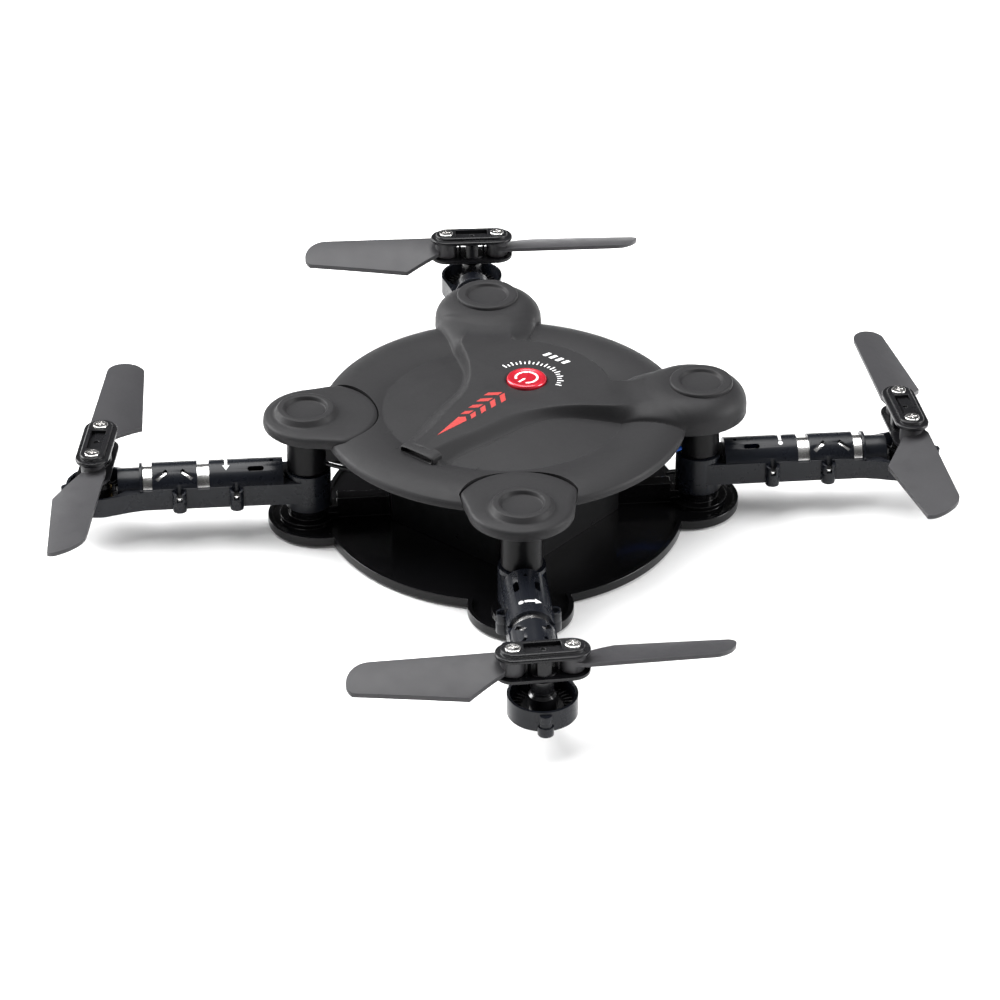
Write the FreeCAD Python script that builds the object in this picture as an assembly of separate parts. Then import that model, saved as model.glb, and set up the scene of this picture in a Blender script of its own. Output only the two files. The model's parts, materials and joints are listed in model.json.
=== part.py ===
import FreeCAD, Part
import math
import os

# Mini palm drone, millimetres, +Z up, front towards -Y.
# The origin is the centre of the flat underside, on the surface that the drone stands on.

# ---- driving dimensions ----
PIVOT_RADIUS = 36.5            # centre to each arm's fold axis, on the diagonals
ARM_LENGTH = 38.5              # fold axis to rotor axis
ROTOR_RADIUS = 33.5            # rotor axis to blade tip
MOTOR_RADIUS = 3.5             # coreless motor can, 7 mm across
MOTOR_LENGTH = 16.0
CORNERS = {                    # direction of each arm, and of its hub at rest, in degrees from +X
    "front_left": (-45.0, 47.6),
    "front_right": (-135.0, 126.2),
    "rear_left": (45.0, 139.2),
    "rear_right": (135.0, 43.6),
}
CLOCKWISE = ("front_left", "rear_right")   # rotors that turn clockwise, seen from above
FRONT = ("front_left", "front_right")
REAR = ("rear_left", "rear_right")

# ---- heights of the stacked pieces ----
FOOT_Z = 0.0
TRAY_BOTTOM = 0.3
TRAY_FLOOR = 1.6
TRAY_RIM = 2.2
LOWER_POST_TOP = 4.3
BARREL_BOTTOM = 4.5
BARREL_TOP = 11.9
UPPER_POST_BOTTOM = 12.2
WEB_BOTTOM = 13.9
BOSS_BOTTOM = 20.6
DISC_BOTTOM = 21.0
DISC_INSIDE = 21.6
PAD_BOTTOM = 21.4
PAD_TOP = 23.5
RIDGE_TOP = 26.0
MOTOR_Z = 9.7
SPLIT_Z = 8.6                  # joint between the two halves of an arm
HUB_BOTTOM = 14.4
BLADE_Z = 16.2                 # chord line of a blade at the hub's centre line
BLADE_ROOT_Z = (15.3, 18.5)
HUB_TOP = 19.9

# ---- body ----
DISC_RADIUS = 33.8
TRAY_RADIUS = 33.65
LOBE_RADIUS = 9.6
LOBE_CENTRE = 34.5
POST_RADIUS = 3.75
POST_ROOM = POST_RADIUS + 0.25  # hole for a front post through the disc's lip
PIN_RADIUS = 2.1
CORE_HALF = 17.0
CORE_CHAMFER = 4.0
WALL = 1.2
BOSS_CENTRE = 34.9             # centre of the rounded ends above the fold axes
GAP = 0.15                     # fit gap round lids, pads and buttons

# ---- gears ----
GEAR_MODULE = 0.3
PINION_TEETH = 9
CROWN_TEETH = 30
CROWN_MEAN_RADIUS = GEAR_MODULE * CROWN_TEETH / 2
PINION_RADIUS = GEAR_MODULE * PINION_TEETH / 2

# ---- rotor ----
BLADE_PIVOT = 5.1              # rotor axis to each blade's screw
BLADE_PITCH = 17.7             # degrees
BLADE_THICKNESS = 0.8
HUB_WIDTH = 6.2
HUB_LENGTH = 16.4
SHAFT_RADIUS = 0.75

HUB_END_RADIUS = 2.15          # round root of a blade, held between the hub's two plates
HUB_COLUMN_RADIUS = 2.6

# blade outline from its screw: distance along the blade, and distance towards the leading edge
BLADE_REACH = ROTOR_RADIUS - BLADE_PIVOT
BLADE_LEAD = [(0.0, 2.1), (2.0, 2.75), (24.0, 2.65)]
BLADE_TIP = [(26.3, 1.9), (27.7, 0.4), (BLADE_REACH, -1.4)]
BLADE_TRAIL = [(BLADE_REACH - 0.1, -3.0), (27.6, -3.9)]
BLADE_ROOT = [(8.1, -6.3), (1.6, -2.0)]

# ---- top shell ----
DISC_TOP = [                   # (radius, z): rim, rounded crest, valley, and a low dome inside it
    (DISC_RADIUS, 21.75), (33.3, 22.1), (32.3, 22.6), (31.0, 23.05), (29.7, 23.35), (28.3, 23.45),
    (26.8, 23.4), (25.2, 23.25), (23.8, 23.05), (22.4, 22.75), (18.0, 23.2), (12.0, 23.8),
    (6.0, 24.15), (0.0, 24.25),
]
RIDGE_FOOT = 22.2
RIDGE_TOP_SIDE = [(3.6, -23.9), (3.7, -18.0), (4.6, -12.6), (5.6, -7.8), (7.0, -3.2),
                  (9.0, 0.6), (12.6, 4.4), (17.0, 8.0), (22.5, 11.6), (26.4, 14.6)]
RIDGE_FOOT_SIDE = [(5.0, -24.4), (5.8, -18.0), (7.1, -13.0), (8.1, -8.2), (9.0, -3.4),
                   (10.6, 0.6), (13.2, 3.9), (17.2, 7.1), (22.8, 10.8), (27.0, 13.9)]
RIDGE_TOP_REAR = [(14.9, 26.6), (12.9, 23.0), (12.2, 20.8), (11.6, 17.2)]
RIDGE_FOOT_REAR = [(14.4, 27.1), (12.4, 23.4), (11.7, 21.2), (11.7, 17.5)]
RIDGE_FALL = 2.3               # degrees that the ridge falls towards the front
RIDGE_FALL_START = 6.0
REAR_BOSS_RADIUS = 10.05
REAR_BOSS_ROUNDING = 2.4
REAR_RING = (RIDGE_TOP, 6.4, 27.0, 5.9)    # base z, base radius, top z, top radius
REAR_DISH = (4.3, 3.85, 26.35)             # bevel radius, floor radius, floor z
FRONT_RING = (PAD_TOP, 5.9, 24.8, 5.3)
FRONT_DISH = (4.15, 3.75, 24.0)
PAD_INNER = 11.6               # reach of a front pad towards the centre, and outwards
PAD_OUTER = 9.5
BUTTON_Y = 6.5
BUTTON_RADIUS = 3.72
BUTTON_STEM = 1.2
BUTTON_SEAT = 23.2
BUTTON_TOP = 26.5
WINDOW_HALF = 4.0              # smoked strip in the front end of the ridge
WINDOW_BOTTOM = 23.4
WINDOW_TOP = 24.5
WINDOW_BACK = -21.6
WINDOW_FRONT = -22.3

# ---- inside the body ----
COVER_X = 15.0                 # battery cover, half sizes
COVER_Y = 11.0
COVER_CORNER = 2.5
BOARD_BOTTOM = 16.4
BOARD_TOP = 17.4
PORT_HALF = 4.0
PORT_BOTTOM = 13.6
LEAD_RADIUS = 0.4
LEAD_OFFSET = 0.9
LEAD_WALL_Z = 12.6
LEAD_POST_Z = 13.1
LEAD_SAG_Z = 11.1
LEAD_ROOM = LEAD_RADIUS + 0.3

# ---- arm, along +X from the fold axis ----
ARM_HALF = 4.15
ARM_BOTTOM = 6.6
LEDGE_TOP = 10.9
TUBE_RADIUS = 4.1
NOSE_RADIUS = 3.3
TUBE_START = 4.6
TUBE_END = 31.0
NOSE_END = 35.0
TIP_RADIUS = 6.1
TIP_BOTTOM = 6.7
TIP_TOP = 10.5
CUP_INSIDE = 5.6
NUB_RADIUS = 1.4
NUB_BOTTOM = 6.2
NUB_STEP = 7.9
SCREW_S = (13.3, 23.8)
SCREW_OFFSET = 4.5
SCREW_SEAT = 8.9
BANDS = ((18.2, 20.4), (28.7, 30.5))       # stretches of the motor can that show

# ---- motor, along +X from the fold axis ----
MOTOR_START = 14.6
MOTOR_END = MOTOR_START + MOTOR_LENGTH
CAN_WALL = 0.3
MAGNET_RADIUS = 2.3
WINDING_INNER = 2.5
WINDING_OUTER = 2.95
MOTOR_SHAFT = 0.4
MOTOR_BORE = 0.46

V = FreeCAD.Vector
Z_AXIS = V(0, 0, 1)


# ---- small helpers ----
def cylinder(radius, z0, z1, x=0.0, y=0.0):
    return Part.makeCylinder(radius, z1 - z0, V(x, y, z0))


def cylinder_x(radius, x0, x1, y=0.0, z=0.0):
    return Part.makeCylinder(radius, x1 - x0, V(x0, y, z), V(1, 0, 0))


def cone(r0, r1, z0, z1, x=0.0, y=0.0):
    return Part.makeCone(r0, r1, z1 - z0, V(x, y, z0))


def box(x0, x1, y0, y1, z0, z1):
    return Part.makeBox(x1 - x0, y1 - y0, z1 - z0, V(x0, y0, z0))


def fuse(shapes):
    shapes = list(shapes)
    joined = shapes[0].fuse(shapes[1:]) if len(shapes) > 1 else shapes[0]
    return joined.removeSplitter()


def cut(shape, tools):
    return shape.cut(list(tools)).removeSplitter()


def polygon(points):
    """Closed face from (x, y) points."""
    corners = [V(x, y, 0) for x, y in points]
    return Part.Face(Part.makePolygon(corners + corners[:1]))


def prism(face, z0, z1):
    base = face.copy()
    base.translate(V(0, 0, z0))
    return base.extrude(V(0, 0, z1 - z0))


def revolved(profile):
    """Solid turned about Z from (radius, z) points."""
    corners = [V(r, 0, z) for r, z in profile]
    face = Part.Face(Part.makePolygon(corners + corners[:1]))
    return face.revolve(V(0, 0, 0), Z_AXIS, 360)


def turned(shape, degrees):
    copy = shape.copy()
    copy.rotate(V(0, 0, 0), Z_AXIS, degrees)
    return copy


def at_corner(shape, corner):
    """Turn a shape built along +X from the centre to a corner's diagonal."""
    return turned(shape, CORNERS[corner][0])


def at_pivot(shape, corner):
    """Place a shape built along +X from the fold axis."""
    moved = shape.copy()
    moved.translate(V(PIVOT_RADIUS, 0, 0))
    return at_corner(moved, corner)


def at_rotor(shape, corner):
    """Place a shape built about the rotor axis, with +X along the hub at rest."""
    direction, hub = CORNERS[corner]
    angle = math.radians(direction)
    reach = PIVOT_RADIUS + ARM_LENGTH
    moved = turned(shape, hub)
    moved.translate(V(reach * math.cos(angle), reach * math.sin(angle), 0))
    return moved


def stadium(length, width, z0, z1):
    half = (length - width) / 2
    radius = width / 2
    ends = [cylinder(radius, z0, z1, x) for x in (-half, half)]
    return fuse(ends + [box(-half, half, -radius, radius, z0, z1)])


def export(name, shape):
    solids = shape.Solids
    for solid in solids:
        if not solid.isValid():
            print("not valid:", name)
    result = solids[0] if len(solids) == 1 else Part.makeCompound(solids)
    result.exportStep(os.path.join("parts", name + ".step"))
    print(f"{name}: {len(solids)} solid(s), {sum(s.Volume for s in solids):.1f} mm3")


# ---- body: bottom shell ----
def tray_face(inset):
    """Outline of the tray: a disc with a round lobe on each diagonal."""
    shapes = [cylinder(TRAY_RADIUS - inset, 0, 1)]
    lobe = cylinder(LOBE_RADIUS - inset, 0, 1, LOBE_CENTRE)
    shapes += [at_corner(lobe, corner) for corner in CORNERS]
    return fuse(shapes)


def scaled_to(shape, z0, z1):
    """Take an outline solid of height 1 to the heights given."""
    outline = [face for face in shape.Faces if face.normalAt(0, 0).z < -0.9][0]
    return prism(outline, z0, z1)


def rounded_plate(half_x, half_y, radius, z0, z1):
    shapes = [box(-half_x + radius, half_x - radius, -half_y, half_y, z0, z1),
              box(-half_x, half_x, -half_y + radius, half_y - radius, z0, z1)]
    for x in (-half_x + radius, half_x - radius):
        for y in (-half_y + radius, half_y - radius):
            shapes.append(cylinder(radius, z0, z1, x, y))
    return fuse(shapes)


def make_bottom_shell():
    plate = scaled_to(tray_face(0.0), TRAY_BOTTOM, TRAY_RIM)
    inside = scaled_to(tray_face(0.9), TRAY_FLOOR, TRAY_RIM + 1)
    plate = cut(plate, [inside])
    below = [edge for edge in plate.Edges
             if abs(edge.BoundBox.ZMax - TRAY_BOTTOM) < 1e-6]
    plate = plate.makeChamfer(0.2, below)
    corner = fuse([
        cylinder(5.4, TRAY_FLOOR - 0.1, 2.5, PIVOT_RADIUS),
        cylinder(POST_RADIUS, TRAY_FLOOR - 0.1, LOWER_POST_TOP, PIVOT_RADIUS),
        cylinder(6.6, FOOT_Z, TRAY_BOTTOM + 0.1, LOBE_CENTRE),
        box(20.0, 31.2, -1.3, 1.3, TRAY_FLOOR - 0.1, 5.7),
        box(31.0, 34.0, -1.3, 1.3, TRAY_FLOOR - 0.1, 4.1),
    ])
    keep_out = [cylinder(2.25, FOOT_Z - 1, 1.35, PIVOT_RADIUS),
                cylinder(0.8, 0, LOWER_POST_TOP + 1, PIVOT_RADIUS)]
    shell = fuse([plate] + [at_corner(corner, name) for name in CORNERS])
    core_room = prism(core_face(CORE_HALF + 0.02), TRAY_FLOOR, 8)
    opening = rounded_plate(COVER_X + GAP, COVER_Y + GAP, COVER_CORNER, -1, TRAY_FLOOR + 1)
    cuts = [core_room, opening]
    for name in CORNERS:
        cuts += [at_corner(tool, name) for tool in keep_out]
    return cut(shell, cuts)


def make_battery_cover():
    plate = rounded_plate(COVER_X, COVER_Y, COVER_CORNER, FOOT_Z, TRAY_FLOOR)
    thumb_slots = [box(x, x + 0.7, -4, 4, FOOT_Z - 1, 0.35) for x in (10.0, 11.6, 13.2)]
    return cut(plate, thumb_slots)


# ---- body: mid frame ----
def core_face(half):
    edge = half - CORE_CHAMFER
    return polygon([(half, -edge), (half, edge), (edge, half), (-edge, half),
                    (-half, edge), (-half, -edge), (-edge, -half), (edge, -half)])


def make_mid_frame():
    inner = CORE_HALF - WALL
    walls = prism(core_face(CORE_HALF), TRAY_FLOOR, DISC_INSIDE)
    hollow = prism(core_face(inner), TRAY_FLOOR - 1, DISC_INSIDE + 1)
    core = walls.cut(hollow)
    shelf = prism(core_face(inner + 0.1), BOARD_BOTTOM - 1.2, BOARD_BOTTOM)
    shelf = shelf.cut(prism(core_face(inner - 1.6), BOARD_BOTTOM - 3, BOARD_TOP))
    shapes = [core, shelf]
    chamfer_reach = math.sqrt(2) * (CORE_HALF - CORE_CHAMFER / 2)
    for name in CORNERS:
        top = PAD_BOTTOM if name in FRONT else BOSS_BOTTOM
        post = fuse([
            cylinder(POST_RADIUS, UPPER_POST_BOTTOM, top, PIVOT_RADIUS),
            cylinder(PIN_RADIUS, LOWER_POST_TOP, UPPER_POST_BOTTOM + 0.5, PIVOT_RADIUS),
            box(chamfer_reach - 1.0, PIVOT_RADIUS - 2, -1.5, 1.5, WEB_BOTTOM, BOSS_BOTTOM),
        ])
        post = post.cut(cylinder(0.8, 0, 10.4, PIVOT_RADIUS))
        shapes.append(at_corner(post, name))
    frame = fuse(shapes)
    port = box(-PORT_HALF - GAP, PORT_HALF + GAP, inner - 3, CORE_HALF + 1,
               PORT_BOTTOM - GAP, BOARD_BOTTOM)
    wire_holes = []
    for name in CORNERS:
        for side in (-LEAD_OFFSET, LEAD_OFFSET):
            hole = cylinder_x(LEAD_ROOM, 19, 22, side, LEAD_WALL_Z)
            socket = cylinder_x(LEAD_ROOM, 32.4, 33.6, side, LEAD_POST_Z)
            wire_holes += [at_corner(hole, name), at_corner(socket, name)]
    return cut(frame, [port] + wire_holes)


# ---- body: top shell ----
def pad_face(inset):
    """Outline of a front pad, about the fold axis, with +X pointing outwards."""
    centre = BOSS_CENTRE - PIVOT_RADIUS
    inner = PAD_INNER - inset
    outer = PAD_OUTER - inset
    lean = math.radians(115.0)
    meet = math.radians(86.5)
    corner = V(centre + inner * math.cos(lean), inner * math.sin(lean), 0)
    side = V(centre + outer * math.cos(meet), outer * math.sin(meet), 0)
    corner_low = V(corner.x, -corner.y, 0)
    side_low = V(side.x, -side.y, 0)
    edges = [
        Part.Arc(corner, V(centre - inner, 0, 0), corner_low).toShape(),
        Part.LineSegment(corner_low, side_low).toShape(),
        Part.Arc(side_low, V(centre + outer, 0, 0), side).toShape(),
        Part.LineSegment(side, corner).toShape(),
    ]
    return Part.Face(Part.Wire(edges))


def ring_boss(ring_sizes, dish_sizes):
    """Round boss about the fold axis, and the cutter for its dished top."""
    base_z, base_r, top_z, top_r = ring_sizes
    bevel_r, floor_r, floor_z = dish_sizes
    ring = cone(base_r, top_r, base_z - 0.05, top_z)
    dish = cone(floor_r, bevel_r, floor_z, top_z + 0.01)
    return ring, dish


def make_front_post_caps():
    caps = []
    for name in FRONT:
        plate = prism(pad_face(0.0), PAD_BOTTOM, PAD_TOP)
        upper = [e for e in plate.Edges if e.BoundBox.ZMin > PAD_TOP - 1e-6]
        plate = plate.makeFillet(0.45, upper)
        ring, dish = ring_boss(FRONT_RING, FRONT_DISH)
        caps.append(at_pivot(cut(fuse([plate, ring]), [dish]), name))
    return Part.makeCompound(caps)


def at_height(points, z):
    return [V(x, y, z) for x, y in points]


def mirrored(points):
    return [V(-p.x, p.y, p.z) for p in reversed(points)]


def spline_edge(points):
    curve = Part.BSplineCurve()
    curve.interpolate(points)
    return curve.toShape()


def ridge_wire(side_points, rear_points, z):
    """Y-shaped outline of the raised spine, its front end towards -Y."""
    side = at_height(side_points, z)
    rear = at_height(rear_points, z)
    middle = V(0, math.hypot(rear[-1].x, rear[-1].y), z)
    left_rear = mirrored(rear)
    left_side = mirrored(side)
    edges = [
        spline_edge(side),
        Part.LineSegment(side[-1], rear[0]).toShape(),
        spline_edge(rear),
        Part.Arc(rear[-1], middle, left_rear[0]).toShape(),
        spline_edge(left_rear),
        Part.LineSegment(left_rear[-1], left_side[0]).toShape(),
        spline_edge(left_side),
        Part.LineSegment(left_side[-1], side[0]).toShape(),
    ]
    return Part.Wire(edges)


def make_ridge():
    foot = ridge_wire(RIDGE_FOOT_SIDE, RIDGE_FOOT_REAR, RIDGE_FOOT)
    top = ridge_wire(RIDGE_TOP_SIDE, RIDGE_TOP_REAR, RIDGE_TOP)
    ridge = Part.makeLoft([foot, top], True, True)
    # the top falls away towards the front end
    slope = Part.makeBox(80, 60, 10, V(-40, -60, 0))
    slope.rotate(V(0, 0, 0), V(1, 0, 0), RIDGE_FALL)
    slope.translate(V(0, RIDGE_FALL_START, RIDGE_TOP - 0.1))
    return ridge.cut(slope)


def rear_boss():
    """Rounded end over a rear fold axis, about the centre line of the diagonal."""
    radius = REAR_BOSS_RADIUS
    rounding = REAR_BOSS_ROUNDING
    profile = [V(0, 0, BOSS_BOTTOM), V(radius - 1.2, 0, BOSS_BOTTOM), V(radius, 0, BOSS_BOTTOM + 1.4),
               V(radius - 0.3, 0, RIDGE_TOP - rounding), V(radius - rounding - 0.4, 0, RIDGE_TOP),
               V(0, 0, RIDGE_TOP)]
    lines = [Part.LineSegment(profile[i], profile[i + 1]).toShape() for i in (0, 1, 2)]
    shoulder = V(radius - 0.3 - 0.85, 0, RIDGE_TOP - 0.62)
    lines.append(Part.Arc(profile[3], shoulder, profile[4]).toShape())
    lines.append(Part.LineSegment(profile[4], profile[5]).toShape())
    lines.append(Part.LineSegment(profile[5], profile[0]).toShape())
    face = Part.Face(Part.Wire(lines))
    solid = face.revolve(V(0, 0, 0), Z_AXIS, 360)
    solid.translate(V(BOSS_CENTRE, 0, 0))
    return solid


def make_top_shell():
    lip = DISC_RADIUS - 1.2
    disc = revolved([(0, DISC_INSIDE), (lip, DISC_INSIDE), (lip, DISC_BOTTOM), (DISC_RADIUS, DISC_BOTTOM)]
                    + DISC_TOP)
    bosses = [at_corner(rear_boss(), name) for name in REAR]
    shapes = [disc, make_ridge()] + bosses
    dishes = []
    for name in REAR:
        ring, dish = ring_boss(REAR_RING, REAR_DISH)
        shapes.append(at_pivot(ring, name))
        dishes.append(at_pivot(dish, name))
    shell = fuse(shapes)
    cuts = list(dishes)
    for name in FRONT:
        cuts.append(at_pivot(prism(pad_face(-GAP), PAD_BOTTOM, 30), name))
        cuts.append(at_pivot(cylinder(POST_ROOM, DISC_BOTTOM - 1, PAD_BOTTOM + 0.1), name))
    cuts.append(cylinder(BUTTON_RADIUS + GAP, BUTTON_SEAT, 30, 0, BUTTON_Y))
    cuts.append(cylinder(BUTTON_STEM + 0.2, 20, BUTTON_SEAT + 1, 0, BUTTON_Y))
    cuts.append(box(-WINDOW_HALF, WINDOW_HALF, -30, WINDOW_BACK, WINDOW_BOTTOM, WINDOW_TOP))
    return cut(shell, cuts)


def make_nose_window():
    """Smoked strip that closes the slot in the front end of the ridge."""
    return box(-WINDOW_HALF, WINDOW_HALF, WINDOW_FRONT, WINDOW_BACK, WINDOW_BOTTOM, WINDOW_TOP)


def make_power_button():
    cap_bottom = BUTTON_SEAT + 0.7
    cap = cylinder(BUTTON_RADIUS, cap_bottom, BUTTON_TOP, 0, BUTTON_Y)
    rim = [e for e in cap.Edges if e.BoundBox.ZMin > BUTTON_TOP - 0.01]
    cap = cap.makeFillet(0.35, rim)
    stem = cylinder(BUTTON_STEM, 20.6, cap_bottom + 0.05, 0, BUTTON_Y)
    return fuse([cap, stem])


# ---- body: inside ----
def make_circuit_board():
    board = prism(core_face(CORE_HALF - WALL - 0.3), BOARD_BOTTOM, BOARD_TOP)
    chips = [box(-9, -3, -9, -3, BOARD_TOP, 18.3), box(4, 8, -11, -7, BOARD_TOP, 18.1),
             box(-12, -8.5, 3, 9, BOARD_TOP, 18.2)]
    switch = [box(-2.2, 2.2, BUTTON_Y - 2.2, BUTTON_Y + 2.2, BOARD_TOP, 19.4),
              cylinder(0.9, 19.3, 20.0, 0, BUTTON_Y)]
    return fuse([board] + chips + switch)


def make_charging_port():
    shell = box(-PORT_HALF, PORT_HALF, CORE_HALF - 5.4, CORE_HALF + 0.2, PORT_BOTTOM, BOARD_BOTTOM)
    mouth = box(-PORT_HALF + 0.35, PORT_HALF - 0.35, CORE_HALF - 4.6, CORE_HALF + 1,
                PORT_BOTTOM + 0.35, BOARD_BOTTOM - 0.35)
    tongue = box(-2.6, 2.6, CORE_HALF - 4.8, CORE_HALF - 0.6, 14.75, 15.25)
    return fuse([shell.cut(mouth), tongue])


def make_battery():
    return rounded_plate(13.5, 9.5, 1.5, 1.9, 11.4)


# ---- leads from the board to the fold posts ----
def lead(points, radius):
    """Round wire along runs joined by one tangent arc, from (x, z) points."""
    (x0, z0), (x1, z1), (x2, z2) = points
    a, b, c = V(x0, 0, z0), V(x1, 0, z1), V(x2, 0, z2)
    back = a.sub(b)
    on = c.sub(b)
    half_turn = (math.pi - back.getAngle(on)) / 2
    trim = 0.45 * min(back.Length, on.Length)
    bend = trim / math.tan(half_turn)
    back.normalize()
    on.normalize()
    start = b.add(V(back).multiply(trim))
    end = b.add(V(on).multiply(trim))
    inward = back.add(on)
    inward.normalize()
    centre_reach = bend / math.cos(half_turn)
    middle = b.add(V(inward).multiply(centre_reach - bend))
    edges = [Part.LineSegment(a, start).toShape(), Part.Arc(start, middle, end).toShape(),
             Part.LineSegment(end, c).toShape()]
    section = Part.Wire(Part.Circle(a, start.sub(a), radius).toShape())
    return Part.Wire(edges).makePipeShell([section], True, True)


def make_board_leads():
    leads = []
    for name in CORNERS:
        for side in (-LEAD_OFFSET, LEAD_OFFSET):
            wire = lead([(20.4, LEAD_WALL_Z), (27.6, LEAD_SAG_Z), (33.3, LEAD_POST_Z)], LEAD_RADIUS)
            wire.translate(V(0, side, 0))
            leads.append(at_corner(wire, name))
    return Part.makeCompound(leads)


def make_pivot_screws():
    screws = []
    for name in CORNERS:
        head = cylinder(2.0, 0.35, 1.35, PIVOT_RADIUS)
        slot = [box(PIVOT_RADIUS - 1.1, PIVOT_RADIUS + 1.1, -0.2, 0.2, 0.3, 0.85),
                box(PIVOT_RADIUS - 0.2, PIVOT_RADIUS + 0.2, -1.1, 1.1, 0.3, 0.85)]
        shank = cylinder(0.8, 1.3, 10.0, PIVOT_RADIUS)
        screws.append(at_corner(cut(fuse([head, shank]), slot), name))
    return Part.makeCompound(screws)


# ---- arm, built from the fold axis along +X ----
def neck_face():
    """Flare between the arm's side walls and its round cup."""
    side = [(29.5, ARM_HALF), (33.0, 4.8), (35.5, 5.5), (ARM_LENGTH, TIP_RADIUS)]
    return polygon(side + [(s, -t) for s, t in reversed(side)])


def arm_outer():
    barrel = cylinder(4.3, BARREL_BOTTOM, BARREL_TOP)
    block = box(0, ARM_LENGTH - 3, -ARM_HALF, ARM_HALF, ARM_BOTTOM, LEDGE_TOP)
    block = block.cut(box(31.0, ARM_LENGTH, -10, 10, TIP_TOP, 20))
    neck = prism(neck_face(), TIP_BOTTOM, TIP_TOP)
    tube = cylinder_x(TUBE_RADIUS, TUBE_START, TUBE_END, 0, MOTOR_Z)
    nose = cylinder_x(NOSE_RADIUS, TUBE_END - 0.1, NOSE_END, 0, MOTOR_Z)
    tip = cylinder(TIP_RADIUS, TIP_BOTTOM, TIP_TOP, ARM_LENGTH)
    foot = cylinder(2.2, 5.8, TIP_BOTTOM + 0.1, ARM_LENGTH)
    nub_s = ARM_LENGTH + TIP_RADIUS
    nub = fuse([cylinder(NUB_RADIUS, NUB_BOTTOM, NUB_STEP, nub_s - 0.1),
                cylinder(NUB_RADIUS - 0.35, NUB_STEP - 0.1, TIP_TOP - 0.5, nub_s - 0.1)])
    bosses = [cylinder(1.3, ARM_BOTTOM, 10.5, s, side * SCREW_OFFSET)
              for s in SCREW_S for side in (-1, 1)]
    body = fuse([block, neck, tube, tip, foot, nub] + bosses)
    # the body starts clear of the post above the barrel, and the cup is open on top
    post_room = cylinder(TUBE_START, BARREL_TOP, 20)
    cup_room = cylinder(CUP_INSIDE, 7.1, 20, ARM_LENGTH)
    nub_hole = cylinder(0.5, 0, NUB_STEP - 0.4, nub_s)
    body = body.cut([post_room, cup_room, nub_hole])
    return fuse([body, barrel, nose])


def arm_hollow():
    """Space inside both halves: pivot pin, leads, motor, pinion, crown gear and shaft."""
    return fuse([
        cylinder(PIN_RADIUS + 0.06, 0, 20),
        cylinder_x(2.4, 5.2, MOTOR_START + 0.1, 0, MOTOR_Z),
        cylinder_x(MOTOR_RADIUS, MOTOR_START, MOTOR_END, 0, MOTOR_Z),
        cylinder_x(2.2, MOTOR_END - 0.1, 36.2, 0, MOTOR_Z),
        cylinder(CUP_INSIDE - 0.1, 7.2, 8.9, ARM_LENGTH),
        cylinder(SHAFT_RADIUS + 0.06, 6.1, 20, ARM_LENGTH),
    ])


def slanted_vent(middle, lean, side):
    """Slot through the sleeve, leaning about the direction that it faces."""
    vent = box(-0.42, 0.42, -1.35, 1.35, 3.0, 6.0)
    vent.rotate(V(0, 0, 0), Z_AXIS, side * lean)
    vent.rotate(V(0, 0, 0), V(1, 0, 0), -side * 36.0)
    vent.translate(V(middle, 0, MOTOR_Z))
    return vent


def arm_openings():
    """Windows over the motor can, slanted vents, lead slots and screw seats."""
    windows = [box(s0, s1, -6, 6, MOTOR_Z + 0.9, 20) for s0, s1 in BANDS]
    vents = [slanted_vent(middle, lean, side)
             for middle, lean in ((22.3, 48.0), (26.9, -48.0)) for side in (-1, 1)]
    lead_slots = []
    for side in (-1, 1):
        slot = stadium(3.0, 1.1, 0, 6)
        slot.rotate(V(0, 0, 0), V(1, 0, 0), -side * 28.0)
        slot.translate(V(9.6, 0, MOTOR_Z))
        lead_slots.append(slot)
    pin_hole = [cylinder(0.4, 10, 20, 6.6)]
    seats = []
    for s in SCREW_S:
        for side in (-1, 1):
            middle = side * SCREW_OFFSET
            seats += [cylinder(0.6, 7.3, 20, s, middle),
                      cylinder(0.85, SCREW_SEAT, 20, s, middle),
                      box(s - 0.5, s + 0.5, min(middle, side * 7), max(middle, side * 7), SCREW_SEAT, 20)]
    return windows + vents + lead_slots + pin_hole + seats


def arm_halves():
    body = cut(arm_outer(), [arm_hollow()] + arm_openings())
    below = box(-20, 60, -20, 20, -5, SPLIT_Z)
    return body.cut(below), body.common(below)


def make_arm_screws():
    """Self-tapping screws in the side bosses, heads in the open seats."""
    screws = []
    for s in SCREW_S:
        for side in (-1, 1):
            head = cylinder(0.8, SCREW_SEAT, SCREW_SEAT + 0.6, s, side * SCREW_OFFSET)
            shank = cylinder(0.6, 7.4, SCREW_SEAT + 0.1, s, side * SCREW_OFFSET)
            screws.append(fuse([head, shank]))
    return Part.makeCompound(screws)


def make_motor():
    """Steel can with its fixed magnet core; the winding turns in the gap between them."""
    can = cylinder_x(MOTOR_RADIUS, MOTOR_START, MOTOR_END, 0, MOTOR_Z)
    ends = [e for e in can.Edges if e.Closed]
    can = can.makeChamfer(0.25, ends)
    room = cylinder_x(MOTOR_RADIUS - CAN_WALL, MOTOR_START + 0.8, MOTOR_END - 0.8, 0, MOTOR_Z)
    magnet = cylinder_x(MAGNET_RADIUS, MOTOR_START + 3.6, MOTOR_END - 0.7, 0, MOTOR_Z)
    nozzle = cylinder_x(1.2, MOTOR_END - 0.1, MOTOR_END + 0.7, 0, MOTOR_Z)
    bore = cylinder_x(MOTOR_BORE, MOTOR_START - 1, MOTOR_END + 2, 0, MOTOR_Z)
    rear_slots = [box(MOTOR_START - 1, MOTOR_START + 1, -2.4, 2.4, MOTOR_Z + side * 1.9 - 0.3,
                      MOTOR_Z + side * 1.9 + 0.3) for side in (-1, 1)]
    return cut(fuse([can.cut(room), magnet, nozzle]), [bore] + rear_slots)


def make_motor_leads():
    return Part.makeCompound([
        cylinder_x(LEAD_RADIUS, 5.4, MOTOR_START, side * 1.2, MOTOR_Z + 0.9) for side in (-1, 1)])


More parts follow.
